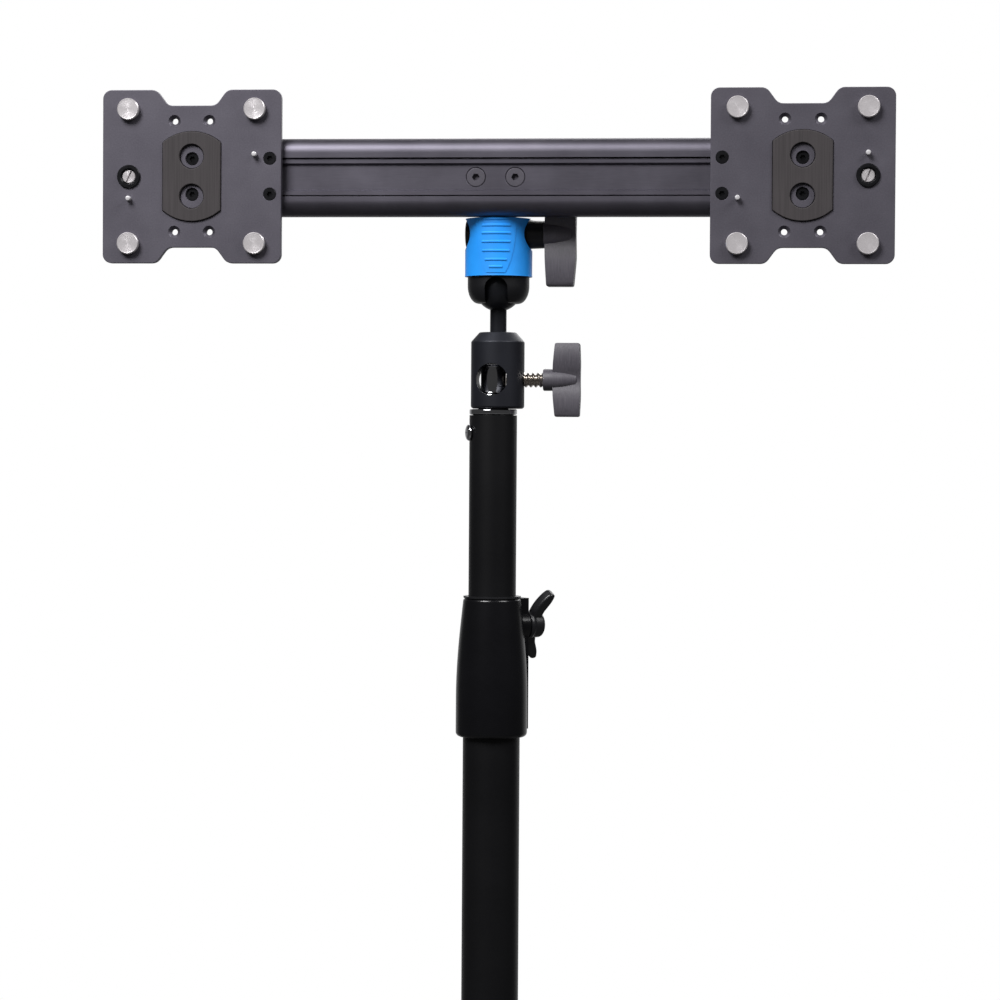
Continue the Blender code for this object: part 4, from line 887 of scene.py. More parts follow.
@dataclass
class Leg(Assembly):
    """One bent tube leg, welded to its ring on the column, with a rubber foot."""

    side: str = "front"
    body: str = "base"
    angle: float = -90.0
    tube_radius: float = 11 * MM
    bend_radius: float = 38 * MM
    level_end: float = 60 * MM
    foot_start: float = 232 * MM
    reach: float = 329.5 * MM
    foot_wall: float = 5.3 * MM
    foot_length: float = 46 * MM
    foot_radius: float = 13.5 * MM
    ring_radius: float = 23 * MM
    ring_hole: float = 15.3 * MM
    ring_height: float = 26 * MM
    boot: Object | None = None
    boot_angle: float = 0.0

    def out(self) -> Vector:
        """The direction from the column to the foot."""
        return heading(self.angle)

    def at(self, distance: float, height: float) -> Vector:
        """A point over the leg's line on the floor."""
        return self.axis() + self.out() * distance + UP * height

    def build(self) -> Object:
        """Models and dresses the leg and its foot, and gives back the foot for the next leg.

        Returns:
            The foot.
        """
        ring_z = Span.of(f"{self.side}_leg").high.z - self.ring_height / 2
        tube = self.bent_tube(ring_z)
        half = self.ring_height / 2
        section = pipe(self.ring_hole, self.ring_radius, -half, half)
        collar = self.bench.turn(f"{self.side}_leg_tube", section, self.at(0, ring_z))
        self.bench.ease(collar, 1.2 * MM, 3)
        self.bench.combine(collar, tube, how=Join.WELD)
        self.dress(collar, PAINTED_TUBE, self.body, "black_tube", (f"{self.side}_leg",))
        foot = self.copied_foot() if self.boot else self.turned_foot()
        return self.dress(foot, FOOT_RUBBER, self.body, "black_rubber", (f"{self.side}_foot",))

    def bent_tube(self, ring_z: float) -> Object:
        """The tube: level out of the ring, down to the floor, level again into the foot.

        Args:
            ring_z: The height of the ring's middle.

        Returns:
            The closed tube.
        """
        start = (self.ring_hole + self.ring_radius) / 2
        slope = math.atan2(ring_z - self.foot_radius, self.foot_start - self.level_end)
        cut_back = self.bend_radius * math.tan(slope / 2)
        run = math.hypot(self.foot_start - self.level_end, ring_z - self.foot_radius)
        down = self.out() * math.cos(slope) - UP * math.sin(slope)
        hinge = self.out().cross(UP)
        tip = self.reach - self.foot_wall
        first = self.at(self.level_end - cut_back, ring_z - self.bend_radius)
        second = self.at(self.foot_start + cut_back, self.foot_radius + self.bend_radius)
        self.bench.clear()
        turn = UP.rotation_difference(self.out()).to_euler()
        bpy.ops.mesh.primitive_circle_add(
            vertices=40, radius=self.tube_radius, location=self.at(start, ring_z), rotation=turn
        )
        tube = bpy.context.object
        bpy.ops.object.transform_apply(location=True, rotation=True, scale=True)
        bpy.ops.object.mode_set(mode="EDIT")
        bpy.ops.mesh.select_all(action="SELECT")
        self.draw_out(self.out() * (self.level_end - cut_back - start))
        bpy.ops.mesh.spin(steps=8, angle=slope, center=first, axis=hinge)
        self.draw_out(down * (run - 2 * cut_back))
        bpy.ops.mesh.spin(steps=8, angle=-slope, center=second, axis=hinge)
        self.draw_out(self.out() * (tip - self.foot_start - cut_back))
        bpy.ops.mesh.select_all(action="SELECT")
        bpy.ops.mesh.remove_doubles(threshold=NO_GAP)
        bpy.ops.mesh.fill_holes(sides=0)
        self.bench.tidy()
        return tube

    def draw_out(self, way: Vector) -> None:
        """Extrudes the selected end of the tube."""
        bpy.ops.mesh.extrude_region_move(TRANSFORM_OT_translate={"value": way})

    def copied_foot(self) -> Object:
        """A copy of the first leg's foot, swung round the column.

        Returns:
            The new object.
        """
        turn = Matrix.Rotation(math.radians(self.angle - self.boot_angle), 4, "Z")
        way = Matrix.Translation(self.axis()) @ turn @ Matrix.Translation(-self.axis())
        return self.bench.copy(self.boot, f"{self.side}_foot_boot", way)

    def turned_foot(self) -> Object:
        """The rubber foot: a boot with a rounded end and three grip grooves.

        Returns:
            The new object.
        """
        wide, length = self.foot_radius, self.foot_length
        bore = self.tube_radius + ROOM
        groove, depth, first, step = 2 * MM, 0.7 * MM, 9 * MM, 6 * MM
        grooves = []
        for i in range(3):
            low = first + i * step
            grooves += [(wide, low), (wide - depth, low + groove / 4)]
            grooves += [(wide - depth, low + 3 * groove / 4), (wide, low + groove)]
        wall = self.foot_wall - ROOM
        profile = [(0, 0), (wide, 0), *grooves, (wide, length), (bore, length), (bore, wall), (0, wall)]
        start = self.at(self.reach, wide)
        return self.bench.turn(f"{self.side}_foot_boot", rounded(profile, 2 * MM), start, -self.out(), 48)


@dataclass
class Column(Assembly):
    """Lower tube with its plug, riser, and the ring that clamps the legs with its screw."""

    tube_wall: float = 1.5 * MM
    clamp_hole: float = 15.3 * MM
    screw_radius: float = 3 * MM

    def build(self) -> None:
        """Models and dresses the column's pieces."""
        self.build_tube("lower_tube", "base")
        self.build_tube("riser_tube", "riser", self.spigot_drill())
        self.build_plug()
        self.build_clamp()
        self.build_clamp_screw()
        self.redress("riser_end_plug", GREY_NYLON)

    def build_tube(self, node: str, body: str, *holes: Object) -> None:
        """A drawn steel tube with broken edges, cut by drills for its holes.

        Args:
            node: The CAD node that it replaces.
            body: The CAD body that carries it.
            holes: The drills, or none.
        """
        span = Span.of(node)
        outer = span.size.x / 2
        section = pipe(outer - self.tube_wall, outer, span.low.z, span.high.z)
        tube = self.bench.turn(f"{node}_drawn", section, self.axis(), steps=96)
        self.bench.combine(tube, *holes)
        self.bench.ease(tube, 0.3 * MM)
        self.dress(tube, PAINTED_TUBE, body, "black_tube", (node,))

    def spigot_drill(self) -> Object:
        """The drill of the riser's hole for the spigot's cross-head screw.

        Returns:
            The new object.
        """
        centre = self.axis() + UP * RiserTop.screw_height
        low, high, way = 5 * MM, 16 * MM, heading(RiserTop.screw_angle)
        return self.bench.drill(RiserTop.screw_hole, low, high, centre, way, 24)

    def build_plug(self) -> None:
        """The flanged plug in the tube's lower end."""
        span = Span.of("tube_bottom_plug")
        wide = span.size.x / 2
        flange = 3 * MM
        neck = wide - self.tube_wall - ROOM
        top = span.high.z
        low = span.low.z
        profile = [(0, low), (wide, low), (wide, low + flange), (neck, low + flange), (neck, top), (0, top)]
        plug = self.bench.turn("tube_plug", rounded(profile, 0.8 * MM), self.axis())
        self.dress(plug, FOOT_RUBBER, "base", "black_rubber", ("tube_bottom_plug",))

    def build_clamp(self) -> None:
        """The clamp ring over the legs, with the hole of its screw."""
        span = Span.of("leg_clamp_ring")
        wide = span.size.x / 2
        section = pipe(self.clamp_hole, wide, span.low.z, span.high.z)
        clamp = self.bench.turn("leg_clamp", section, self.axis())
        face = self.axis() + Vector((0, -wide - MM, Span.of("leg_clamp_screw").middle.z))
        deep = 9 * MM
        self.bench.combine(clamp, self.bench.drill(self.screw_radius + ROOM, 0, deep, face, BACK, 32))
        self.bench.ease(clamp, 0.8 * MM, 3)
        self.dress(clamp, BLACK_ANODISED, "base", "satin_black", ("leg_clamp_ring",))

    def build_clamp_screw(self) -> None:
        """The socket screw that pinches the clamp ring."""
        span = Span.of("leg_clamp_screw")
        head, radius, key, socket = 5 * MM, self.screw_radius, 2 * MM, 2.5 * MM
        length = span.size.y
        shank = length - head
        profile = [(0, 0), (radius, 0), (radius, shank), (head, shank), (head, length), (0, length)]
        start = Vector((span.middle.x, span.high.y, span.middle.z))
        screw = self.bench.turn("leg_clamp_cap_screw", rounded(profile, 0.5 * MM), start, FRONT, 48)
        self.bench.combine(screw, self.bench.drill(key, length - socket, length + MM, start, FRONT, 6))
        self.dress(screw, BLACK_OXIDE, "base", "black_steel", ("leg_clamp_screw",))


@dataclass
class Collar(Assembly):
    """The collar that clamps the riser, with its bush and the wing knob at its right."""

    top_radius: float = 15.3 * MM
    belly_radius: float = 18.8 * MM
    belly_height: float = 20 * MM
    foot_round: float = 2.4 * MM
    brow_drop: float = 1.6 * MM
    bush_room: float = 13.9 * MM
    tube_room: float = 15.3 * MM
    shoulder: float = 42.3 * MM
    ear_half_width: float = 4.5 * MM
    ear_reach: float = 19.8 * MM
    knob_angle: float = 35.0
    knob_height: float = 58.3 * MM
    boss_radius: float = 7.5 * MM
    boss_face: float = 20 * MM
    screw_radius: float = 3 * MM

    def way(self) -> Vector:
        """The direction of the knob's axis."""
        return heading(self.knob_angle)

    def build(self) -> None:
        """Models and dresses the collar and its knob."""
        span = Span.of("riser_collar")
        foot = self.axis() + UP * span.low.z
        lip = span.size.z
        collar = self.bench.turn("collar_shell", self.profile(lip), foot, steps=96)
        self.bench.combine(collar, self.clamp_ear(foot, lip), how=Join.WELD)
        self.bench.ease(collar, 0.5 * MM, 3)
        boss = rounded(rod(self.boss_radius, self.bush_room, self.boss_face), 0.6 * MM)
        centre = foot + UP * self.knob_height
        self.bench.combine(collar, self.bench.turn("boss", boss, centre, self.way()), how=Join.WELD)
        hole = self.bench.drill(self.screw_radius + ROOM, 0, 30 * MM, centre, self.way(), 32)
        self.bench.combine(collar, hole)
        self.dress(collar, GLOSS_ABS, "base", "black_plastic", ("riser_collar",))
        self.redress("collar_bush", BLACK_ABS)
        self.build_wing(centre)

    def profile(self, lip: float) -> list[Pair]:
        """The collar's wall: soft foot, belly that tapers to the top, and a rounded brow at the lip.

        Args:
            lip: The collar's height.

        Returns:
            The closed profile, from the collar's foot.
        """
        soft, brow = self.foot_round, self.brow_drop
        profile = arc((self.belly_radius - soft, soft), soft, -90, 0, 6)
        for i in range(17):
            rise = i / 16
            taper = (self.belly_radius - self.top_radius) * math.cos(math.pi / 2 * rise)
            height = self.belly_height + (lip - brow - self.belly_height) * rise
            profile.append((self.top_radius + taper, height))
        wall = self.top_radius - self.bush_room - 0.1 * MM
        for i in range(1, 7):
            turn = math.pi / 2 * i / 6
            radius = self.top_radius - wall * (1 - math.cos(turn))
            profile.append((radius, lip - brow * (1 - math.sin(turn))))
        profile += [(self.bush_room, lip), (self.bush_room, self.shoulder)]
        profile += [(self.tube_room, self.shoulder), (self.tube_room, 0)]
        return ring(profile)

    def clamp_ear(self, foot: Vector, lip: float) -> Object:
        """The upright ear behind the knob, straight from foot to lip.

        Args:
            foot: The foot of the collar's axis.
            lip: The collar's height.

        Returns:
            The new object.
        """
        side = UP.cross(self.way())
        outline = [
            (self.tube_room + 0.4 * MM, 3.5 * MM),
            (self.ear_reach, 3.5 * MM),
            (self.ear_reach, lip),
            (self.bush_room + 0.4 * MM, lip),
            (self.bush_room + 0.4 * MM, self.shoulder + 1.7 * MM),
            (self.tube_room + 0.4 * MM, self.shoulder + 1.7 * MM),
        ]
        start = foot - side * self.ear_half_width
        return self.bench.push("ear", laid(start, self.way(), UP, outline), side * 2 * self.ear_half_width)

    def build_wing(self, centre: Vector) -> None:
        """The wing knob: a domed hub, two curved wings and the screw that presses on the riser.

        Args:
            centre: Where the knob's axis meets the collar's.
        """
        way = self.way()
        aside = Vector((way.y, -way.x, 0))
        twist = math.radians(30)
        across = UP * math.cos(twist) + aside * math.sin(twist)
        through = way.cross(across).normalized()
        tip, base, face = 12.8 * MM, 20.3 * MM, 29.2 * MM
        hub = [(0, tip), (self.screw_radius, tip), (self.screw_radius, base), (7.6 * MM, base)]
        hub += [(7.6 * MM, base + 2 * MM), (7 * MM, base + 3 * MM), (6.8 * MM, face), (0, face)]
        knob = self.bench.turn("wing_knob", rounded(hub, 1.8 * MM, 5), centre, way)
        wing = [(2, 21.4), (7, 21.4), (11, 22.4), (15, 24.2), (18.5, 26.6), (20.6, 29), (19.8, 31.8)]
        wing += [(16, 31.2), (12.5, 29.6), (9.5, 28), (6, 27.4), (2, 27.4)]
        for flip in (1, -1):
            outline = rounded(in_mm([(flip * s, h) for s, h in wing]), 2 * MM)
            points = laid(centre - through * 3 * MM, across, way, outline)
            blade = self.bench.push("blade", points, through * 6 * MM)
            self.bench.ease(blade, 1.4 * MM, 4, 50)
            self.bench.combine(knob, blade, how=Join.WELD)
        self.dress(knob, BLACK_ABS, "collar_knob", "black_plastic", ("collar_wing_knob",))


@dataclass
class TKnob(Assembly):
    """A T-shaped hand knob whose axis runs to the right."""

    node: str = "receiver_knob"
    body: str = "receiver_knob"
    boss_face: float = 26.2 * MM
    boss_radius: float = 5.75 * MM
    inner: float = 31.2 * MM
    outer: float = 45.9 * MM
    inner_slant: float = 1.3 * MM
    outer_slant: float = 0.5 * MM
    half_length: float = 19.35 * MM
    half_depth: float = 5.5 * MM
    core: float = 2.8 * MM
    blind: float = 36.8 * MM
    origin: Vector = ZERO

    def build(self) -> None:
        """Models and dresses the knob: its outline, waisted in front and behind, and a flared boss."""
        tall = self.half_length
        half = [
            (self.inner, 0.1 * tall),
            (self.inner + 0.25 * self.inner_slant, 0.45 * tall),
            (self.inner + self.inner_slant, tall),
            (self.outer - self.outer_slant, tall),
            (self.outer - 0.2 * self.outer_slant, 0.45 * tall),
        ]
        back = self.origin + FRONT * 12 * MM
        outline = laid(back, RIGHT, UP, rounded(ring(mirrored(half)), MM, 4)[:-1])
        knob = self.bench.push(f"{self.node}_moulding", outline, BACK * 24 * MM)
        knob = self.bench.combine(knob, self.petals(), how=Join.KEEP)
        self.bench.ease(knob, 0.7 * MM, 3, 50)
        width = self.outer - self.inner
        boss = [
            (0, self.boss_face),
            (self.boss_radius, self.boss_face),
            (self.boss_radius, self.inner - 0.5 * MM),
            (self.boss_radius * 0.93, self.inner + 0.35 * width),
            (self.boss_radius * 0.72, self.inner + 0.85 * width),
            (self.boss_radius * 0.3, self.inner + 0.93 * width),
            (0, self.inner + 0.93 * width),
        ]
        flare = self.bench.turn("boss", rounded(boss, 0.8 * MM), self.origin, RIGHT)
        self.bench.combine(knob, flare, how=Join.WELD)
        self.bench.combine(knob, self.bench.drill(self.core, 0, self.blind, self.origin, RIGHT, 24))
        self.dress(knob, KNOB_NYLON, self.body, "knob_plastic", (self.node,))

    def petals(self) -> Object:
        """The knob seen from its end: two round-bellied grips with a waist between them.

        Returns:
            The new object.
        """
        deep, tall = self.half_depth, self.half_length
        upper = [(0.6, 0.05), (0.68, 0.16), (0.88, 0.34), (0.98, 0.52), (0.98, 0.68), (0.9, 0.84)]
        upper.append((0.72, 1.02))
        front = [(-deep * y, tall * z) for y, z in reversed(upper)]
        front += [(-deep * y, -tall * z) for y, z in upper]
        side = rounded(ring(both_sides(front)), 2.5 * MM, 4)
        start = self.origin + RIGHT * (self.inner - 5 * MM)
        length = RIGHT * (self.outer - self.inner + 10 * MM)
        return self.bench.push("petals", laid(start, BACK, UP, side[:-1]), length)


@dataclass
class Crossbar(Assembly):
    """The extruded bar with its end caps and the two screws that hold it to the block."""

    height: float = 40 * MM
    depth: float = 14.5 * MM
    top_room: float = 0.5 * MM
    front_round: float = 7.8 * MM
    back_round: float = 3 * MM
    web_half: float = 7.2 * MM
    web_recess: float = 2.5 * MM
    channel_half: float = 8.3 * MM
    channel_depth: float = 5 * MM
    groove_low: float = 9.3 * MM
    groove_high: float = 10.05 * MM
    groove_depth: float = 4 * MM

    def section(self) -> list[Pair]:
        """The extrusion's outline from its front face and middle height.

        Returns:
            Depth and height of each corner.
        """
        rib = 1 * MM
        web = [
            (self.web_recess, self.web_half - 0.9 * MM),
            (rib, self.web_half),
            (rib, self.groove_low),
            (self.groove_depth, self.groove_low),
            (self.groove_depth, self.groove_high),
            (0.0, self.groove_high),
        ]
        channel = [(self.depth, self.channel_half), (self.depth - self.channel_depth, self.channel_half)]
        upper = web + self.bulge(self.height / 2 + self.top_room) + channel
        lower = web + self.bulge(self.height / 2) + channel
        return upper + [(y, -z) for y, z in reversed(lower)]

    def bulge(self, half: float) -> list[Pair]:
        """The rounded top of the section, from its front to its back, at a height over the middle."""
        made = arc((self.front_round, half - self.front_round), self.front_round, 180, 90, 14)
        return made + arc((self.depth - self.back_round, half - self.back_round), self.back_round, 90, 0, 6)

    def build(self) -> None:
        """Models and dresses the bar, its caps and its screws."""
        span = Span.of("crossbar")
        start = Vector((span.low.x, span.low.y, span.middle.z))
        points = laid(start, BACK, UP, self.section())
        bar = self.bench.push("crossbar_extrusion", points, RIGHT * span.size.x)
        chambers = [self.chamber(start - RIGHT * MM, sign, span.size.x + 2 * MM, 0.0) for sign in (1, -1)]
        self.bench.combine(bar, *chambers)
        self.bench.combine(bar, *self.screw_holes(start))
        self.bench.ease(bar, 0.25 * MM, 2, 60)
        self.dress(bar, DRAWN_ANODISED, "head", "anodised", ("crossbar",))
        self.build_cap("left", start - RIGHT * ROOM, -1)
        self.build_cap("right", start + RIGHT * (span.size.x + ROOM), 1)
        self.build_screws()

    def chamber(self, start: Vector, sign: int, length: float, room: float) -> Object:
        """One hollow of the section, or the peg that fills it with room around.

        Args:
            start: Where it begins, at the front face and middle height.
            sign: 1 for the upper hollow, -1 for the lower.
            length: How far it runs to the right.
            room: The gap that a peg leaves round itself.

        Returns:
            The new object.
        """
        low, high, front, back = 12.6 * MM + room, 17 * MM - room, 4.5 * MM + room, 12 * MM - room
        corners = rounded(ring([(front, low), (back, low), (back, high), (front, high)]), 1.2 * MM, 3)
        return self.bench.push("chamber", laid(start, BACK, UP * sign, corners[:-1]), RIGHT * length)

    def screw_holes(self, start: Vector) -> list[Object]:
        """Countersinks for the two block screws and drilled holes for the plates' screws.

        Args:
            start: The left end of the bar's front face, at middle height.

        Returns:
            The drills.
        """
        tools = []
        head, shank, low, deep = 5.3 * MM, 2.8 * MM, -2.5 * MM, -20 * MM
        for screw in BAR_SCREWS:
            middle = Span.of(screw).middle
            face = Vector((middle.x, start.y + self.web_recess, middle.z))
            sink = [(0, MM), (head, MM), (head, 0), (shank, low), (shank, deep), (0, deep)]
            tools.append(self.bench.turn("sink", sink, face, FRONT, 48))
        radius, deep = 1.8 * MM, 9.8 * MM
        for plate in ("left", "right"):
            for place in PLATE_SCREWS:
                screw = Span.of(f"plate_screw_{plate}_{place}")
                face = Vector((screw.middle.x, start.y - MM, screw.middle.z))
                tools.append(self.bench.drill(radius, 0, deep, face, BACK, 20))
        return tools

    def build_cap(self, side: str, start: Vector, sign: int) -> None:
        """An end cap that follows the section, with a peg in each hollow.

        Args:
            side: The end's name.
            start: The front face at that end, at middle height.
            sign: 1 if the cap points to the right, -1 to the left.
        """
        lower = [(y, -z) for y, z in reversed(self.bulge(self.height / 2))]
        points = laid(start, BACK, UP, self.bulge(self.height / 2 + self.top_room) + lower)
        thick, peg = 2 * MM, 9.3 * MM
        cap = self.bench.push(f"end_cap_{side}", points, RIGHT * sign * thick)
        self.bench.ease(cap, 0.7 * MM, 3, 60)
        inside = start + RIGHT * sign * MM
        pegs = [self.chamber(inside, flip, -sign * peg, ROOM) for flip in (1, -1)]
        self.bench.combine(cap, *pegs, how=Join.WELD)
        self.dress(cap, BLACK_ABS, "head", "black_plastic", (f"bar_end_cap_{side}",))

    def build_screws(self) -> None:
        """The two countersunk socket screws."""
        left, right = (Span.of(node) for node in BAR_SCREWS)
        face = Vector((left.middle.x, left.low.y, left.middle.z))
        head, shank, length, key = 4.85 * MM, 2.5 * MM, 23 * MM, 2 * MM
        profile = [(0, 0), (head - 0.2 * MM, 0), (head, -0.2 * MM), (shank, -2.6 * MM)]
        profile += [(shank, -length), (0, -length)]
        screw = self.bench.turn("block_screw_left", profile, face, FRONT)
        self.bench.combine(screw, self.bench.drill(key, -2 * MM, MM, face, FRONT, 6))
        self.bench.ease(screw, 0.12 * MM, 2)
        twin = self.bench.copy(screw, "block_screw_right", Matrix.Translation(right.middle - left.middle))
        for piece, node in zip((screw, twin), BAR_SCREWS):
            self.dress(piece, GREY_PHOSPHATE, "head", "black_steel", (node,))


HALF_TURN = {
    "top_left": "bottom_right",
    "top_right": "bottom_left",
    "bottom_left": "top_right",
    "bottom_right": "top_left",
    "upper": "lower",
    "lower": "upper",
}


@dataclass
class Fitting:
    """A finished piece of a plate and what its twin on the other plate needs."""

    piece: Object
    finish: Finish
    body: str
    slot: str
    node: str
    centre: Vector

    def named(self, text: str) -> str:
        """A name as the twin has it: the other side, the opposite corner or height.

        Args:
            text: A name on the left plate.

        Returns:
            The twin's name.
        """
        made = text.replace("left", "right", 1)
        for end, other in HALF_TURN.items():
            if text.endswith(end):
                return made[: -len(end)] + other
        return made


@dataclass
class MountPlate(Assembly):
    """One quick-mount plate with its pad, discs, pins and screws; its copy is the other plate."""

    side: str = "left"
    thickness: float = 4 * MM
    corner_round: float = 4.6 * MM
    notch_mouth: float = 18.6 * MM
    notch_floor: float = 12.6 * MM
    notch_depth: float = 8.2 * MM
    notch_round: float = 2.8 * MM
    pad_radius: float = 23.3 * MM
    pad_half_width: float = 15.3 * MM
    pad_recess: float = 1.8 * MM
    pad_height: float = 2.6 * MM
    pad_hole: float = 6.4 * MM
    pad_hole_height: float = 10.35 * MM
    disc_radius: float = 5.65 * MM
    disc_height: float = 3 * MM
    disc_hole: float = 2.8 * MM
    screw_head: float = 3.3 * MM
    screw_hole: float = 1.8 * MM
    small_sink: float = 3.2 * MM
    small_hole: float = 1.6 * MM
    small_hole_x: float = 9.15 * MM
    small_hole_z: float = 28.75 * MM
    ring_hole: float = 5.2 * MM
    pin_x: float = 33.1 * MM
    pin_z: float = 11.4 * MM
    pin_radius: float = 1.3 * MM
    pin_height: float = 3.4 * MM
    island_radius: float = 5.95 * MM
    island_depth: float = 0.7 * MM
    fittings: list[Fitting] = field(default_factory=list)

    def fit(
        self,
        piece: Object,
        finish: Finish,
        slot: str,
        node: str = "",
        centre: Vector | None = None,
    ) -> None:
        """Dresses a piece of this plate and keeps it for the twin.

        Args:
            piece: The piece.
            finish: Its finish.
            slot: The name of a material slot.
            node: The CAD node that it replaces, if there is one.
            centre: The point that the finish's pattern is centred on, if not the plate's middle.
        """
        body = f"captive_{self.side}" if node.startswith("captive_screw") else "head"
        middle = self.centre() if centre is None else centre
        self.dress(piece, finish, body, slot, (node,) if node else (), middle)
        self.fittings.append(Fitting(piece, finish, body, slot, node, middle))

    def twin(self) -> None:
        """Copies the finished plate to the bar's other end, turned half round."""
        other = MountPlate(self.bench, "right").centre()
        turn = Matrix.Rotation(math.pi, 4, "Y")
        turn = Matrix.Translation(other) @ turn @ Matrix.Translation(-self.centre())
        for fitting in self.fittings:
            piece = self.bench.copy(fitting.piece, fitting.named(fitting.piece.name), turn)
            nodes = (fitting.named(fitting.node),) if fitting.node else ()
            body = fitting.body.replace("left", "right")
            self.dress(piece, fitting.finish, body, fitting.slot, nodes, turn @ fitting.centre)

    def centre(self) -> Vector:
        """The middle of the plate's front face.

        Returns:
            The point.
        """
        screw = Span.of(f"plate_screw_{self.side}_edge_upper")
        middle = Span.of(f"mount_plate_{self.side}").middle
        return Vector((middle.x, screw.low.y, middle.z))

    def node_place(self, node: str) -> Vector:
        """The point of the front face behind a node's middle."""
        middle = Span.of(node).middle
        return Vector((middle.x, self.centre().y, middle.z))

    def flat(self, outline: list[Pair], depth: float) -> list[Vector]:
        """Points of an outline, at a depth behind the front face."""
        return laid(self.centre() + BACK * depth, RIGHT, UP, outline)

    def outline(self) -> list[Pair]:
        """The plate's outline: round corners and a slanted notch above and below.

        Returns:
            Width and height of each corner from the middle.
        """
        size = Span.of(f"mount_plate_{self.side}").size
        half_x, half_z = size.x / 2, size.z / 2
        soft = self.corner_round
        quarter = arc((half_x - soft, half_z - soft), soft, 0, 90, 10)
        floor = half_z - self.notch_depth
        notch = [(half_x - soft, half_z), (self.notch_mouth, half_z), (self.notch_floor, floor), (0, floor)]
        quarter += rounded(notch, self.notch_round, 6)[1:-1]
        top = both_sides(quarter)
        return top + [(-x, -z) for x, z in top]

    def pad_outline(self, room: float) -> list[Pair]:
        """A disc with flats at its left and right.

        Args:
            room: How much larger it is than the pad.

        Returns:
            Its points from the middle.
        """
        radius, half = self.pad_radius + room, self.pad_half_width + room
        edge = math.degrees(math.acos(half / radius))
        top = arc((0, 0), radius, edge, 180 - edge, 40)
        return top + [(-x, -z) for x, z in top]

    def hole(self, radius: float, place: Vector, deep: float = 6 * MM) -> Object:
        """A drill that starts in front of a point of the face."""
        return self.bench.drill(radius, MM, -deep, place, FRONT, 40)

    def sink(self, head: float, shank: float, place: Vector, depth: float) -> Object:
        """A countersink with its through hole.

        Args:
            head: The head's radius.
            shank: The through hole's radius.
            place: The hole's place on the face.
            depth: How deep the head sits.

        Returns:
            The new object.
        """
        low = depth + head - shank
        above, below = 3 * MM, -6 * MM
        profile = [(0, above), (head, above), (head, -depth), (shank, -low), (shank, below), (0, below)]
        return self.bench.turn("sink", profile, place, FRONT, 40)

    def corners(self) -> dict[str, Vector]:
        """Each corner disc's name and its place on the face."""
        names = ("top_left", "top_right", "bottom_left", "bottom_right")
        return {name: self.node_place(f"corner_disc_{self.side}_{name}") for name in names}

    def screws(self) -> dict[str, Vector]:
        """Each plate screw's name and its place, as deep as its head sits.

        Returns:
            The places by name.
        """
        made = {}
        for name in PLATE_SCREWS:
            span = Span.of(f"plate_screw_{self.side}_{name}")
            made[name] = Vector((span.middle.x, span.low.y, span.middle.z))
        return made

    def build(self) -> None:
        """Models and dresses the plate and what is fitted to it."""
        self.build_plate()
        self.build_pad()
        self.build_discs()
        self.build_pins()
        self.build_screws()
        self.build_captive()

    def build_plate(self) -> None:
        """The plate: milled outline, pad recess with an island in each pad window, and its holes."""
        points = self.flat(self.outline(), self.thickness)
        plate = self.bench.push(f"mount_plate_{self.side}_milled", points, FRONT * self.thickness)
        self.bench.ease(plate, 0.35 * MM, 2, 60)
        recess = self.flat(self.pad_outline(ROOM), self.pad_recess)
        front = FRONT * (self.pad_recess + MM)
        self.bench.combine(plate, self.bench.push("recess", recess, front))
        low = self.pad_recess + 0.5 * MM
        islands = [
            self.bench.drill(self.island_radius, -low, -self.island_depth, self.centre() + UP * z, FRONT)
            for z in (-self.pad_hole_height, self.pad_hole_height)
        ]
        self.bench.combine(plate, *islands, how=Join.WELD)
        tools = [self.hole(self.disc_hole, place) for place in self.corners().values()]
        tools.append(self.hole(self.ring_hole, self.node_place(f"captive_ring_{self.side}")))
        for x in (-self.small_hole_x, self.small_hole_x):
            for z in (-self.small_hole_z, self.small_hole_z):
                place = self.centre() + Vector((x, 0, z))
                tools.append(self.sink(self.small_sink, self.small_hole, place, 0.15 * MM))
        for place in self.screws().values():
            depth = place.y - self.centre().y
            on_face = Vector((place.x, self.centre().y, place.z))
            tools.append(self.sink(self.screw_head + 0.25 * MM, self.screw_hole, on_face, depth))
        self.bench.combine(plate, *tools)
        self.fit(plate, ANODISED, "anodised", f"mount_plate_{self.side}")

    def build_pad(self) -> None:
        """The grained rubber pad with its two screw windows."""
        back = self.pad_recess - ROOM
        points = self.flat(self.pad_outline(0), back)
        pad = self.bench.push(f"grip_pad_{self.side}", points, FRONT * self.pad_height)
        holes = [
            self.hole(self.pad_hole, self.centre() + UP * z + FRONT * 2 * MM)
            for z in (-self.pad_hole_height, self.pad_hole_height)
        ]
        self.bench.combine(pad, *holes)
        self.bench.ease(pad, 0.45 * MM, 3, 60)
        self.fit(pad, PAD_RUBBER, "friction_rubber", f"friction_pad_{self.side}")

    def build_discs(self) -> None:
        """The four turned corner discs, modelled once and copied."""
        wide, high, low = self.disc_radius, ROOM + self.disc_height, ROOM
        stub, root = 2.5 * MM, -3.7 * MM
        profile = [(0, root), (stub, root), (stub, low)]
        profile += [(wide - 0.2 * MM, low), (wide, low + 0.2 * MM), (wide, high - 0.45 * MM)]
        profile += [(wide - 0.45 * MM, high), (wide - 0.75 * MM, high - 0.08 * MM)]
        profile += [(0.5 * MM, high - 0.08 * MM), (0, high - 0.3 * MM)]
        places = self.corners()
        first = places["top_left"]
        disc = self.bench.turn("disc", profile, first, FRONT, 96)
        for corner, place in places.items():
            twin = self.bench.copy(disc, f"disc_{self.side}_{corner}", Matrix.Translation(place - first))
            self.fit(twin, TURNED_STEEL, "turned_steel", f"corner_disc_{self.side}_{corner}", place)
        bpy.data.objects.remove(disc, do_unlink=True)

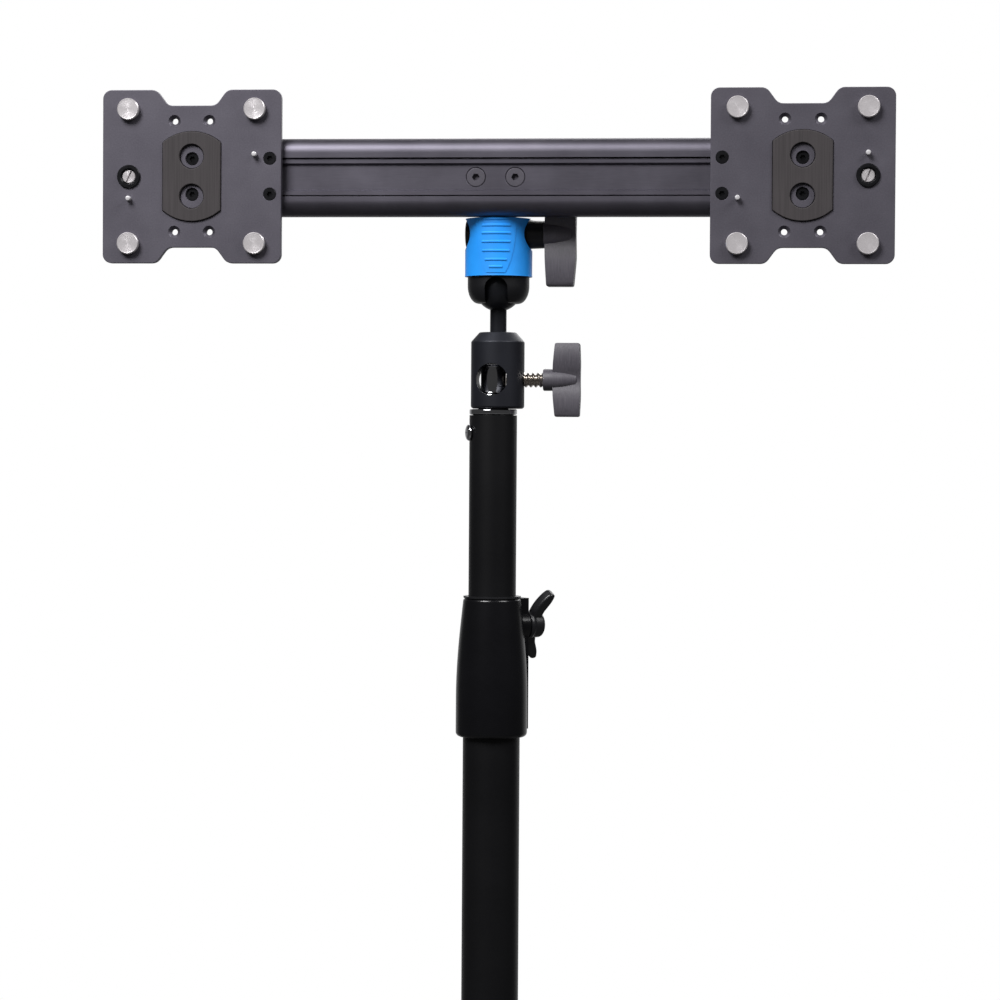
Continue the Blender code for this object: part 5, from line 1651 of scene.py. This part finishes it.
    def build_pins(self) -> None:
        """The two round-nosed locating pins pressed into the plate."""
        places = [Vector((flip * self.pin_x, 0, flip * self.pin_z)) for flip in (1, -1)]
        profile = rounded(rod(self.pin_radius, -2 * MM, self.pin_height), 0.6 * MM)
        pins = [self.bench.turn("pin", profile, self.centre() + place, FRONT, 32) for place in places]
        pins = self.bench.merge(pins)
        pins.name = f"locating_pins_{self.side}"
        self.fit(pins, DOWEL_STEEL, "chrome")

    def build_screws(self) -> None:
        """The four countersunk screws with six-lobed sockets, modelled once and copied."""
        places = self.screws()
        first = places["edge_upper"]
        head, shank, length = self.screw_head, 1.5 * MM, 10 * MM
        profile = [(0, 0), (head - 0.25 * MM, 0), (head, -0.25 * MM), (shank, -2 * MM)]
        profile += [(shank, -length), (0, -length)]
        screw = self.bench.turn("screw", profile, first, FRONT, 48)
        self.bench.combine(screw, self.six_lobes(first))
        for name, place in places.items():
            twin = self.bench.copy(screw, f"screw_{self.side}_{name}", Matrix.Translation(place - first))
            self.fit(twin, BLACK_OXIDE, "black_steel", f"plate_screw_{self.side}_{name}")
        bpy.data.objects.remove(screw, do_unlink=True)

    def six_lobes(self, place: Vector) -> Object:
        """The tool of a six-lobed socket.

        Args:
            place: The middle of the screw's head.

        Returns:
            The new object.
        """
        points = []
        for i in range(48):
            turn = 2 * math.pi * i / 48
            wide = (1.42 + 0.2 * math.cos(6 * turn)) * MM
            points.append(place + Vector((wide * math.cos(turn), -MM, wide * math.sin(turn))))
        return self.bench.push("key", points, BACK * 2.2 * MM)

    def build_captive(self) -> None:
        """The retaining ring in the plate and the slotted screw that turns in it."""
        place = self.node_place(f"captive_ring_{self.side}")
        self.build_ring(place)
        self.build_slotted_screw(place)

    def build_ring(self, place: Vector) -> None:
        """The flanged black ring.

        Args:
            place: Its place on the face.
        """
        barrel, flange, room = 4.9 * MM, 6.1 * MM, 3.8 * MM
        low, high, seat = -self.thickness, 1.1 * MM, -3.2 * MM
        hole, brim, edge = 2.3 * MM, 0.3 * MM, 0.4 * MM
        profile = [(hole, low), (barrel, low), (barrel, brim), (flange, brim), (flange, high - edge)]
        profile += [(flange - edge, high), (room + 0.5 * MM, high), (room, high - 0.5 * MM)]
        profile += [(room, seat), (hole, seat)]
        holder = self.bench.turn(f"retaining_ring_{self.side}", ring(profile), place, FRONT)
        self.fit(holder, BLACK_OXIDE, "black_steel", f"captive_ring_{self.side}")

    def build_slotted_screw(self, place: Vector) -> None:
        """The screw in the ring, its slot leaning as in the photograph.

        Args:
            place: Its place on the face.
        """
        head, face, foot = 3.5 * MM, 0.1 * MM, -2.9 * MM
        shank, tail, edge = 2 * MM, -10 * MM, 0.3 * MM
        profile = [(0, tail), (shank, tail), (shank, foot), (head, foot), (head, face - edge)]
        profile += [(head - edge, face), (0, face)]
        screw = self.bench.turn(f"slotted_screw_{self.side}", profile, place, FRONT)
        lean = math.radians(66)
        along = Vector((math.cos(lean), 0, math.sin(lean)))
        across = Vector((-math.sin(lean), 0, math.cos(lean)))
        corners = in_mm([(-5, -0.45), (5, -0.45), (5, 0.45), (-5, 0.45)])
        slot = laid(place + FRONT * (face - MM), along, across, corners)
        self.bench.combine(screw, self.bench.push("slot", slot, FRONT * 2 * MM))
        self.fit(screw, TURNED_STEEL, "turned_steel", f"captive_screw_{self.side}", place)


@dataclass
class RiserTop(Assembly):
    """The spigot in the riser's top and the cross-head screw that holds it."""

    shank_radius: float = 10.7 * MM
    flange_radius: float = 12.5 * MM
    flange_low: float = 699.3 * MM
    flange_high: float = 702.2 * MM
    radius: float = 7.95 * MM
    waist_radius: float = 6.65 * MM
    waist_low: float = 710.9 * MM
    waist_high: float = 724.5 * MM
    screw_height: float = 689.8 * MM
    screw_angle: float = 200.0
    screw_hole: float = 2.3 * MM

    def build(self) -> None:
        """Models and dresses the spigot and its screw."""
        centre = self.axis() + UP * self.screw_height
        self.build_spigot(centre)
        self.build_screw(centre, heading(self.screw_angle))

    def build_spigot(self, centre: Vector) -> None:
        """The turned spigot: shank in the riser, flange, waisted pin and the tapped hole.

        Args:
            centre: Where the screw's axis meets the spigot's.
        """
        foot = self.axis()
        span = Span.of("spigot")
        edge, slope = 0.45 * MM, MM
        profile = [
            (0, span.low.z),
            (self.shank_radius, span.low.z),
            (self.shank_radius, self.flange_low),
            (self.flange_radius - edge, self.flange_low),
            (self.flange_radius, self.flange_low + edge),
            (self.flange_radius, self.flange_high - edge),
            (self.flange_radius - edge, self.flange_high),
            (self.radius, self.flange_high),
            (self.radius, self.waist_low - slope),
            (self.waist_radius, self.waist_low),
            (self.waist_radius, self.waist_high),
            (self.radius, self.waist_high + slope),
            (self.radius, span.high.z - slope),
            (self.radius - slope, span.high.z),
            (0, span.high.z),
        ]
        spigot = self.bench.turn("spigot_turned", rounded(profile, 0.35 * MM), foot, steps=96)
        low, high, way = 4.2 * MM, 14 * MM, heading(self.screw_angle)
        self.bench.combine(spigot, self.bench.drill(self.screw_hole, low, high, centre, way, 24))
        self.dress(spigot, CHROME, "riser", "chrome", ("spigot",))

    def build_screw(self, centre: Vector, way: Vector) -> None:
        """The domed screw with its cross, which points out of the riser.

        Args:
            centre: Where its axis meets the spigot's.
            way: The direction that it points in.
        """
        head, radius = 4.25 * MM, 2 * MM
        tip, low, high = 4.8 * MM, 12.8 * MM, 14.7 * MM
        shank = [(0, tip), (radius, tip), (radius, low), (head, low), (head, low + 0.7 * MM)]
        dome = [(head - 0.5 * MM, low + 1.3 * MM), (head - 1.5 * MM, high - 0.1 * MM), (0, high)]
        screw = self.bench.turn("spigot_cross_screw", rounded(shank + dome, 0.5 * MM), centre, way, 48)
        across = UP.cross(way)
        start = centre + way * (high - 1.2 * MM)
        corners = in_mm([(-2.0, -0.4), (2.0, -0.4), (2.0, 0.4), (-2.0, 0.4)])
        for side, other in ((UP, across), (across, UP)):
            points = laid(start, side, other, corners)
            self.bench.combine(screw, self.bench.push("driver", points, way * 2 * MM))
        self.dress(screw, CHROME, "riser", "chrome", ("spigot_screw",))


@dataclass
class Receiver(Assembly):
    """The receiver on the spigot, with its threaded T-screw and the ball's stem in its roof."""

    radius: float = 14.05 * MM
    top_radius: float = 9.6 * MM
    top_slope: float = 5 * MM
    bore_radius: float = 8.25 * MM
    cross_hole: float = 8.4 * MM
    roof: float = 736 * MM
    stem_hole: float = 4.2 * MM
    thread_radius: float = 4 * MM
    thread_depth: float = MM
    thread_pitch: float = 2.6 * MM
    core_radius: float = 2.5 * MM

    def build(self) -> None:
        """Models and dresses the receiver, its screw and the ball stem."""
        column = self.axis()
        span = Span.of("receiver")
        foot = Vector((span.middle.x, column.y, span.low.z))
        high = span.size.z
        edge = 0.9 * MM
        profile = [(0, 0), (self.radius - edge, 0), (self.radius, edge)]
        profile += [(self.radius, high - self.top_slope), (self.top_radius, high), (0, high)]
        body = self.bench.turn("receiver_turned", rounded(profile, 0.5 * MM), foot, steps=96)
        origin = column + UP * CROSS_HEIGHT
        stem = column + RIGHT * HEAD_X
        reach = 20 * MM
        for tool in (
            self.bench.drill(self.bore_radius, span.low.z - MM, self.roof, column, UP, 64),
            self.bench.drill(self.cross_hole, -reach, reach, origin, BACK, 96),
            self.bench.drill(self.thread_radius + ROOM, 0, reach, origin, RIGHT, 48),
            self.bench.drill(self.stem_hole, self.roof - MM, span.high.z + MM, stem, UP, 48),
        ):
            self.bench.combine(body, tool)
        self.bench.ease(body, 0.3 * MM, 2, 40)
        self.dress(body, BLACK_ANODISED, "receiver", "satin_black", ("receiver",))
        self.build_screw(origin)
        self.build_stem(stem)

    def build_screw(self, origin: Vector) -> None:
        """The T-screw: rolled thread, and the plain end that the knob is moulded on.

        Args:
            origin: The middle of the cross hole.
        """
        place = Matrix.Translation(origin) @ Matrix.Rotation(math.pi / 2, 4, "Y")
        sizes = (self.thread_radius, self.thread_depth, self.thread_pitch)
        tip, end, core_start, core_end = 6.95 * MM, 26 * MM, 24 * MM, 36.5 * MM
        screw = self.bench.thread("receiver_threaded_screw", sizes, (tip, end), place)
        core = self.bench.drill(self.core_radius, core_start, core_end, origin, RIGHT, 32)
        self.bench.combine(screw, core, how=Join.WELD)
        self.dress(screw, NICKEL, "receiver_knob", "chrome", ("receiver_screw",))

    def build_stem(self, stem: Vector) -> None:
        """The ball on its stem.

        Args:
            stem: The foot of the stem's axis.
        """
        ball, neck, root = BALL_RADIUS, 4.35 * MM, 3.9 * MM
        low, shoulder = self.roof + ROOM, Span.of("receiver").high.z + ROOM
        centre = Span.of("ball_stem").high.z - ball
        meet = 180 - math.degrees(math.asin(neck / ball))
        profile = [(0, low), (root, low), (root, shoulder), (neck, shoulder), (neck, shoulder + MM)]
        for i in range(40):
            turn = math.radians(meet * (40 - i) / 40)
            profile.append((ball * math.sin(turn), centre + ball * math.cos(turn)))
        profile.append((0, centre + ball))
        piece = self.bench.turn("ball_and_stem", profile, stem, steps=96)
        self.dress(piece, BLACKENED_BALL, "receiver", "black_metal", ("ball_stem",))


@dataclass
class BallHead(Assembly):
    """The ball head: housing, blue sleeve, side cap and the block that carries the crossbar."""

    radius: float = 16.2 * MM
    top: float = 35.4 * MM
    bulb_top: float = 0.8 * MM
    mouth_radius: float = 10.6 * MM
    mouth_drop: float = 8.4 * MM
    lip: float = 12.8 * MM
    side: float = 13.8 * MM
    dome: float = 15.3 * MM
    slot_width: float = 12 * MM
    slot_centre: float = -1 * MM
    lock_height: float = 27.8 * MM
    boss_radius: float = 7.5 * MM
    boss_tip: float = 7.2 * MM
    boss_face: float = 23.6 * MM
    sleeve_bottom: float = 5.6 * MM
    sleeve_inner: float = 16.5 * MM
    sleeve_outer: float = 17.7 * MM
    stud_hole: float = 3.3 * MM
    lock_hole: float = 4.3 * MM
    screw_hole: float = 2.8 * MM
    window_half_depth: float = 10.6 * MM
    window_half_height: float = 8.7 * MM

    def ball(self) -> Vector:
        """The ball's centre."""
        span = Span.of("ball_stem")
        return Vector((HEAD_X, span.middle.y, span.high.z - BALL_RADIUS))

    def lock(self) -> Vector:
        """The middle of the lock shaft's axis."""
        return self.ball() + UP * self.lock_height

    def build(self) -> None:
        """Models and dresses the head's pieces."""
        self.build_housing()
        self.build_sleeve()
        self.build_cap()
        self.build_block()
        self.redress("ball_brake_pad", BRASS)
        self.redress("ball_pressure_cup", GREY_NYLON)
        self.redress("head_lock_plunger", TURNED_STEEL)
        self.redress("head_lock_shaft", NICKEL)
        self.redress("head_top_plate", BLACK_OXIDE)

    def build_housing(self) -> None:
        """The housing: round foot with its mouth and slot, and the bosses of the lock shaft."""
        wide, tall = self.radius - self.mouth_radius, self.bulb_top + self.mouth_drop
        profile = [(0, -self.mouth_drop)]
        for i in range(17):
            turn = math.pi / 2 * i / 16
            radius = self.mouth_radius + wide * math.sin(turn)
            profile.append((radius, self.bulb_top - tall * math.cos(turn)))
        profile += [(self.radius, self.top), (0, self.top)]
        housing = self.bench.turn("housing_casting", profile, self.ball(), steps=96)
        left = self.radius + 0.4 * MM
        bosses = [(0, -left), (self.boss_radius, -left), (self.boss_radius, self.radius)]
        bosses += [(self.boss_tip, self.boss_face), (0, self.boss_face)]
        self.bench.combine(housing, self.bench.turn("bosses", bosses, self.lock(), RIGHT), how=Join.WELD)
        half = self.slot_width / 2
        arch = arc((0, self.slot_centre), half, 0, 180, 24) + [(-half, -10 * MM), (half, -10 * MM)]
        start = self.ball() + FRONT * 6 * MM
        slot = self.bench.push("slot", laid(start, RIGHT, UP, arch), FRONT * 12 * MM)
        self.bench.combine(housing, self.cavity())
        self.bench.combine(housing, slot)
        self.bench.mend(housing)
        self.bench.ease(housing, 0.35 * MM, 2, 50)
        left_end, right_end = -18 * MM, 25 * MM
        shaft = self.bench.drill(self.lock_hole, left_end, right_end, self.lock(), RIGHT, 40)
        roof, above = 32.4 * MM, 37 * MM
        stud = self.bench.drill(self.stud_hole, roof, above, self.ball(), UP, 32)
        for tool in (shaft, stud):
            self.bench.combine(housing, tool)
        self.bench.mend(housing)
        self.dress(housing, HOUSING_NYLON, "head", "black_plastic", ("head_housing",))

    def cavity(self) -> Object:
        """The room round the ball, its cups and the plunger.

        Returns:
            The new object.
        """

        def stretch(radius: float, start: float, end: float) -> list[Pair]:
            """Points on a sphere between two angles from the top."""
            turns = [math.radians(start + (end - start) * i / 12) for i in range(13)]
            return [(radius * math.sin(t), radius * math.cos(t)) for t in turns]

        neck, ceiling, floor = 5.3 * MM, 26.5 * MM, -10 * MM
        profile = [(0, ceiling), (neck, ceiling)]
        profile += stretch(self.dome, 20.3, 60) + stretch(self.side, 60, 109)
        profile += stretch(self.lip, 110.6, 131)
        profile += [(profile[-1][0], floor), (0, floor)]
        return self.bench.turn("cavity", profile, self.ball())

    def build_sleeve(self) -> None:
        """The sleeve: oval windows for the bosses, a raised tongue in front and seven grip ribs on it."""
        low, high = self.sleeve_bottom, self.top + 0.35 * MM
        outer, inner = self.sleeve_outer, self.sleeve_inner
        section = [(inner, low), (outer, low), (outer - 0.1 * MM, low + 0.8 * MM)]
        section += [(outer, high - MM), (outer + 0.1 * MM, high), (inner, high)]
        sleeve = self.bench.turn("sleeve_moulding", ring(section), self.ball(), steps=128)
        self.bench.combine(sleeve, self.tongue(low, high), how=Join.WELD)
        window = []
        for i in range(48):
            turn = 2 * math.pi * i / 48
            height = self.window_half_height * math.sin(turn)
            window.append((self.window_half_depth * math.cos(turn), height))
        window = laid(self.lock() - RIGHT * 20 * MM, BACK, UP, window)
        self.bench.combine(sleeve, self.bench.push("window", window, RIGHT * 40 * MM))
        ribs = [(34.9, 13.8), (31.6, 15.2), (27.6, 15.4), (23.1, 15.2), (18.4, 14.4), (13.8, 11.4)]
        ribs.append((10, 6.8))
        for height, width in in_mm(ribs):
            self.bench.combine(sleeve, self.rib(height, width), how=Join.WELD)
        self.bench.ease(sleeve, 0.16 * MM, 2, 45)
        self.dress(sleeve, BLUE_ACETAL, "head", "blue_plastic", ("head_sleeve",), self.ball())

    def tongue(self, low: float, high: float) -> Object:
        """The raised front of the sleeve, which narrows downwards.

        Args:
            low: The sleeve's lower edge over the ball's centre.
            high: Its upper edge.

        Returns:
            The new object.
        """
        face = self.sleeve_outer + 0.2 * MM
        inner, start = self.sleeve_inner + 0.4 * MM, low + 1.2 * MM
        section = [(inner, start), (face, start), (face, high), (inner, high)]
        shell = self.bench.arc_of("tongue", section, self.ball(), math.pi * 0.9, 64)
        half = [(4.9, 7), (6.4, 10), (7.9, 14), (9, 19), (9.8, 24), (10.3, 29), (10.9, 33), (11.8, 37)]
        points = laid(self.ball() + FRONT * 5 * MM, RIGHT, UP, both_sides(in_mm(half)))
        keep = self.bench.push("keep", points, FRONT * 20 * MM)
        return self.bench.combine(shell, keep, how=Join.KEEP)

    def rib(self, height: float, width: float) -> Object:
        """One grip rib across the tongue.

        Args:
            height: Its height over the ball's centre.
            width: Its length round the sleeve.

        Returns:
            The new object.
        """
        face = self.sleeve_outer + 0.2 * MM
        half = 0.75 * MM
        root, brow, crest, flat = face - MM, face + 0.1 * MM, face + 0.4 * MM, 0.3 * MM
        section = [(root, height - half), (brow, height - half), (crest, height - flat)]
        section += [(crest, height + flat), (brow, height + half), (root, height + half)]
        return self.bench.arc_of("rib", section, self.ball(), width / face, 24)

    def build_cap(self) -> None:
        """The domed cap over the lock shaft's left end."""
        face, stub, peg = 16.9 * MM, 3 * MM, 4 * MM
        profile = [(0, -face - 0.6 * MM), (3 * MM, -face - 0.55 * MM), (6 * MM, -face - 0.35 * MM)]
        profile.append((7.2 * MM, -face))
        profile += [(peg, -face), (peg, -face + stub), (0, -face + stub)]
        cap = self.bench.turn("side_cap", rounded(profile, 0.3 * MM), self.lock(), RIGHT)
        self.dress(cap, BLACK_ABS, "head", "black_plastic", ("head_side_cap",))

    def build_block(self) -> None:
        """The block behind the bar, with its tongue in the bar's channel."""
        span = Span.of("mount_block")
        bar = Span.of("crossbar")
        front, back = bar.high.y + ROOM, span.high.y
        tongue, half = span.low.y, 8 * MM
        low, high, middle = span.low.z, span.high.z, bar.middle.z
        section = [(front, low), (back, low), (back, high), (front, high), (front, middle + half)]
        section += [(tongue, middle + half), (tongue, middle - half), (front, middle - half)]
        points = laid(RIGHT * span.low.x, BACK, UP, section)
        block = self.bench.push("bar_block", points, RIGHT * span.size.x)
        self.bench.ease(block, 0.6 * MM, 3, 60)
        foot = Vector((self.ball().x, self.ball().y, 0))
        deep = 14 * MM
        self.bench.combine(block, self.bench.drill(self.stud_hole, low - MM, low + deep, foot, UP, 32))
        holes = []
        for node in BAR_SCREWS:
            screw = Span.of(node)
            face = Vector((screw.middle.x, tongue - MM, screw.middle.z))
            deep = screw.high.y - tongue + 1.3 * MM
            holes.append(self.bench.drill(self.screw_hole, 0, deep, face, BACK, 32))
        self.bench.combine(block, *holes)
        self.dress(block, BLACK_ANODISED, "head", "satin_black", ("mount_block",))


@dataclass
class Studio:
    """Pale floor, white surroundings, soft lamps and the camera at the photograph's place."""

    floor_radius: float = 1.1
    camera_place: Vector = Vector((0.1415, -1.4400, 0.6864))
    yaw: float = 5.185
    pitch: float = 1.2
    roll: float = 0.367
    lens_mm: float = 104.3
    aim: Vector = Vector((0, 0, 0.7))

    def build(self) -> None:
        """Sets up the whole studio."""
        view = bpy.context.scene.view_settings
        view.view_transform = "Standard"
        self.build_floor()
        self.build_world()
        self.build_lamp("key_softbox", Vector((-0.78, -1.18, 2.12)), 22, 0.9, 110)
        self.build_lamp("fill_softbox", Vector((1.3, -0.7, 2.0)), 9, 0.8, 110)
        self.build_lamp("back_softbox", Vector((0.3, 1.3, 1.5)), 5, 1.2, 110)
        self.build_camera()

    def build_floor(self) -> None:
        """The pale round floor, which takes the shadow."""
        bpy.ops.mesh.primitive_circle_add(vertices=128, radius=self.floor_radius, fill_type="NGON")
        floor = bpy.context.object
        floor.name = "studio_floor"
        floor.location.z = -0.5 * MM
        floor.data.materials.append(STUDIO_PAPER.material())

    def build_world(self) -> None:
        """White where the camera or glass looks, graded in gloss, and plain grey as ambient light."""
        world = bpy.data.worlds.new("studio")
        bpy.context.scene.world = world
        world.use_nodes = True
        tree = world.node_tree
        tree.nodes.clear()
        path = add_node(tree, "LightPath", {})
        seen = add_node(
            tree,
            "Math",
            {"operation": "MAXIMUM"},
            {0: path.outputs["Is Camera Ray"], 1: path.outputs["Is Transmission Ray"]},
        )
        way = add_node(tree, "TexCoord", {})
        axes = add_node(tree, "SeparateXYZ", {}, {0: way.outputs["Generated"]})
        graded = add_node(
            tree,
            "MapRange",
            {"From Min": 0.55, "From Max": 0.92, "To Min": 0.05, "To Max": 0.5},
            {"Value": axes.outputs["Y"]},
        )
        ambient = add_node(
            tree,
            "Mix",
            {"data_type": "FLOAT", 2: 0.22},
            {0: path.outputs["Is Glossy Ray"], 3: graded.outputs["Result"]},
        )
        strength = add_node(
            tree, "Mix", {"data_type": "FLOAT", 3: 1.0}, {0: seen.outputs[0], 2: ambient.outputs[0]}
        )
        light = add_node(tree, "Background", {"Color": linear("FFFFFF")}, {"Strength": strength.outputs[0]})
        add_node(tree, "OutputWorld", {}, {"Surface": light.outputs[0]})

    def build_lamp(self, name: str, place: Vector, power: float, size: float, spread: float) -> None:
        """A square softbox aimed at the object; its grid narrows the light to the spread in degrees.

        Args:
            name: The lamp's name.
            place: Its place.
            power: Its power in watts.
            size: The softbox's side.
            spread: The grid's angle in degrees.
        """
        lamp = bpy.data.lights.new(name, "AREA")
        lamp.energy = power
        lamp.size = size
        lamp.spread = math.radians(spread)
        box = bpy.data.objects.new(name, lamp)
        bpy.context.scene.collection.objects.link(box)
        box.location = place
        box.rotation_euler = (self.aim - place).to_track_quat("-Z", "Y").to_euler()

    def build_camera(self) -> None:
        """The camera, as far and as high as the photograph's."""
        data = bpy.data.cameras.new("photo_camera")
        data.lens = self.lens_mm
        data.sensor_width = 36
        camera = bpy.data.objects.new("photo_camera", data)
        bpy.context.scene.collection.objects.link(camera)
        turn = (
            Matrix.Rotation(math.radians(self.yaw), 4, "Z")
            @ Matrix.Rotation(math.radians(90 - self.pitch), 4, "X")
            @ Matrix.Rotation(math.radians(self.roll), 4, "Z")
        )
        camera.matrix_world = Matrix.Translation(self.camera_place) @ turn
        bpy.context.scene.camera = camera


def main() -> None:
    """Builds the object's groups in order, then the studio."""
    logging.basicConfig(level=logging.INFO, format="%(message)s")
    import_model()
    bench = Bench()
    column = Column(bench)
    boot = Leg(bench, "front", "base", -90).build()
    Leg(bench, "left", "left_leg", 150, boot=boot, boot_angle=-90).build()
    Leg(bench, "right", "right_leg", 30, boot=boot, boot_angle=-90).build()
    column.build()
    Collar(bench).build()
    TKnob(bench, origin=column.axis() + UP * CROSS_HEIGHT).build()
    TKnob(
        bench,
        "head_lock_knob",
        "head_knob",
        boss_face=23.9 * MM,
        boss_radius=7.2 * MM,
        inner=24.3 * MM,
        outer=41 * MM,
        inner_slant=1.1 * MM,
        outer_slant=1.5 * MM,
        half_length=27.2 * MM,
        half_depth=7 * MM,
        core=3.3 * MM,
        blind=33 * MM,
        origin=Vector((HEAD_X, column.axis().y, LOCK_HEIGHT)),
    ).build()
    RiserTop(bench).build()
    Receiver(bench).build()
    BallHead(bench).build()
    Crossbar(bench).build()
    plate = MountPlate(bench)
    plate.build()
    plate.twin()
    Studio().build()


if __name__ == "__main__":
    main()
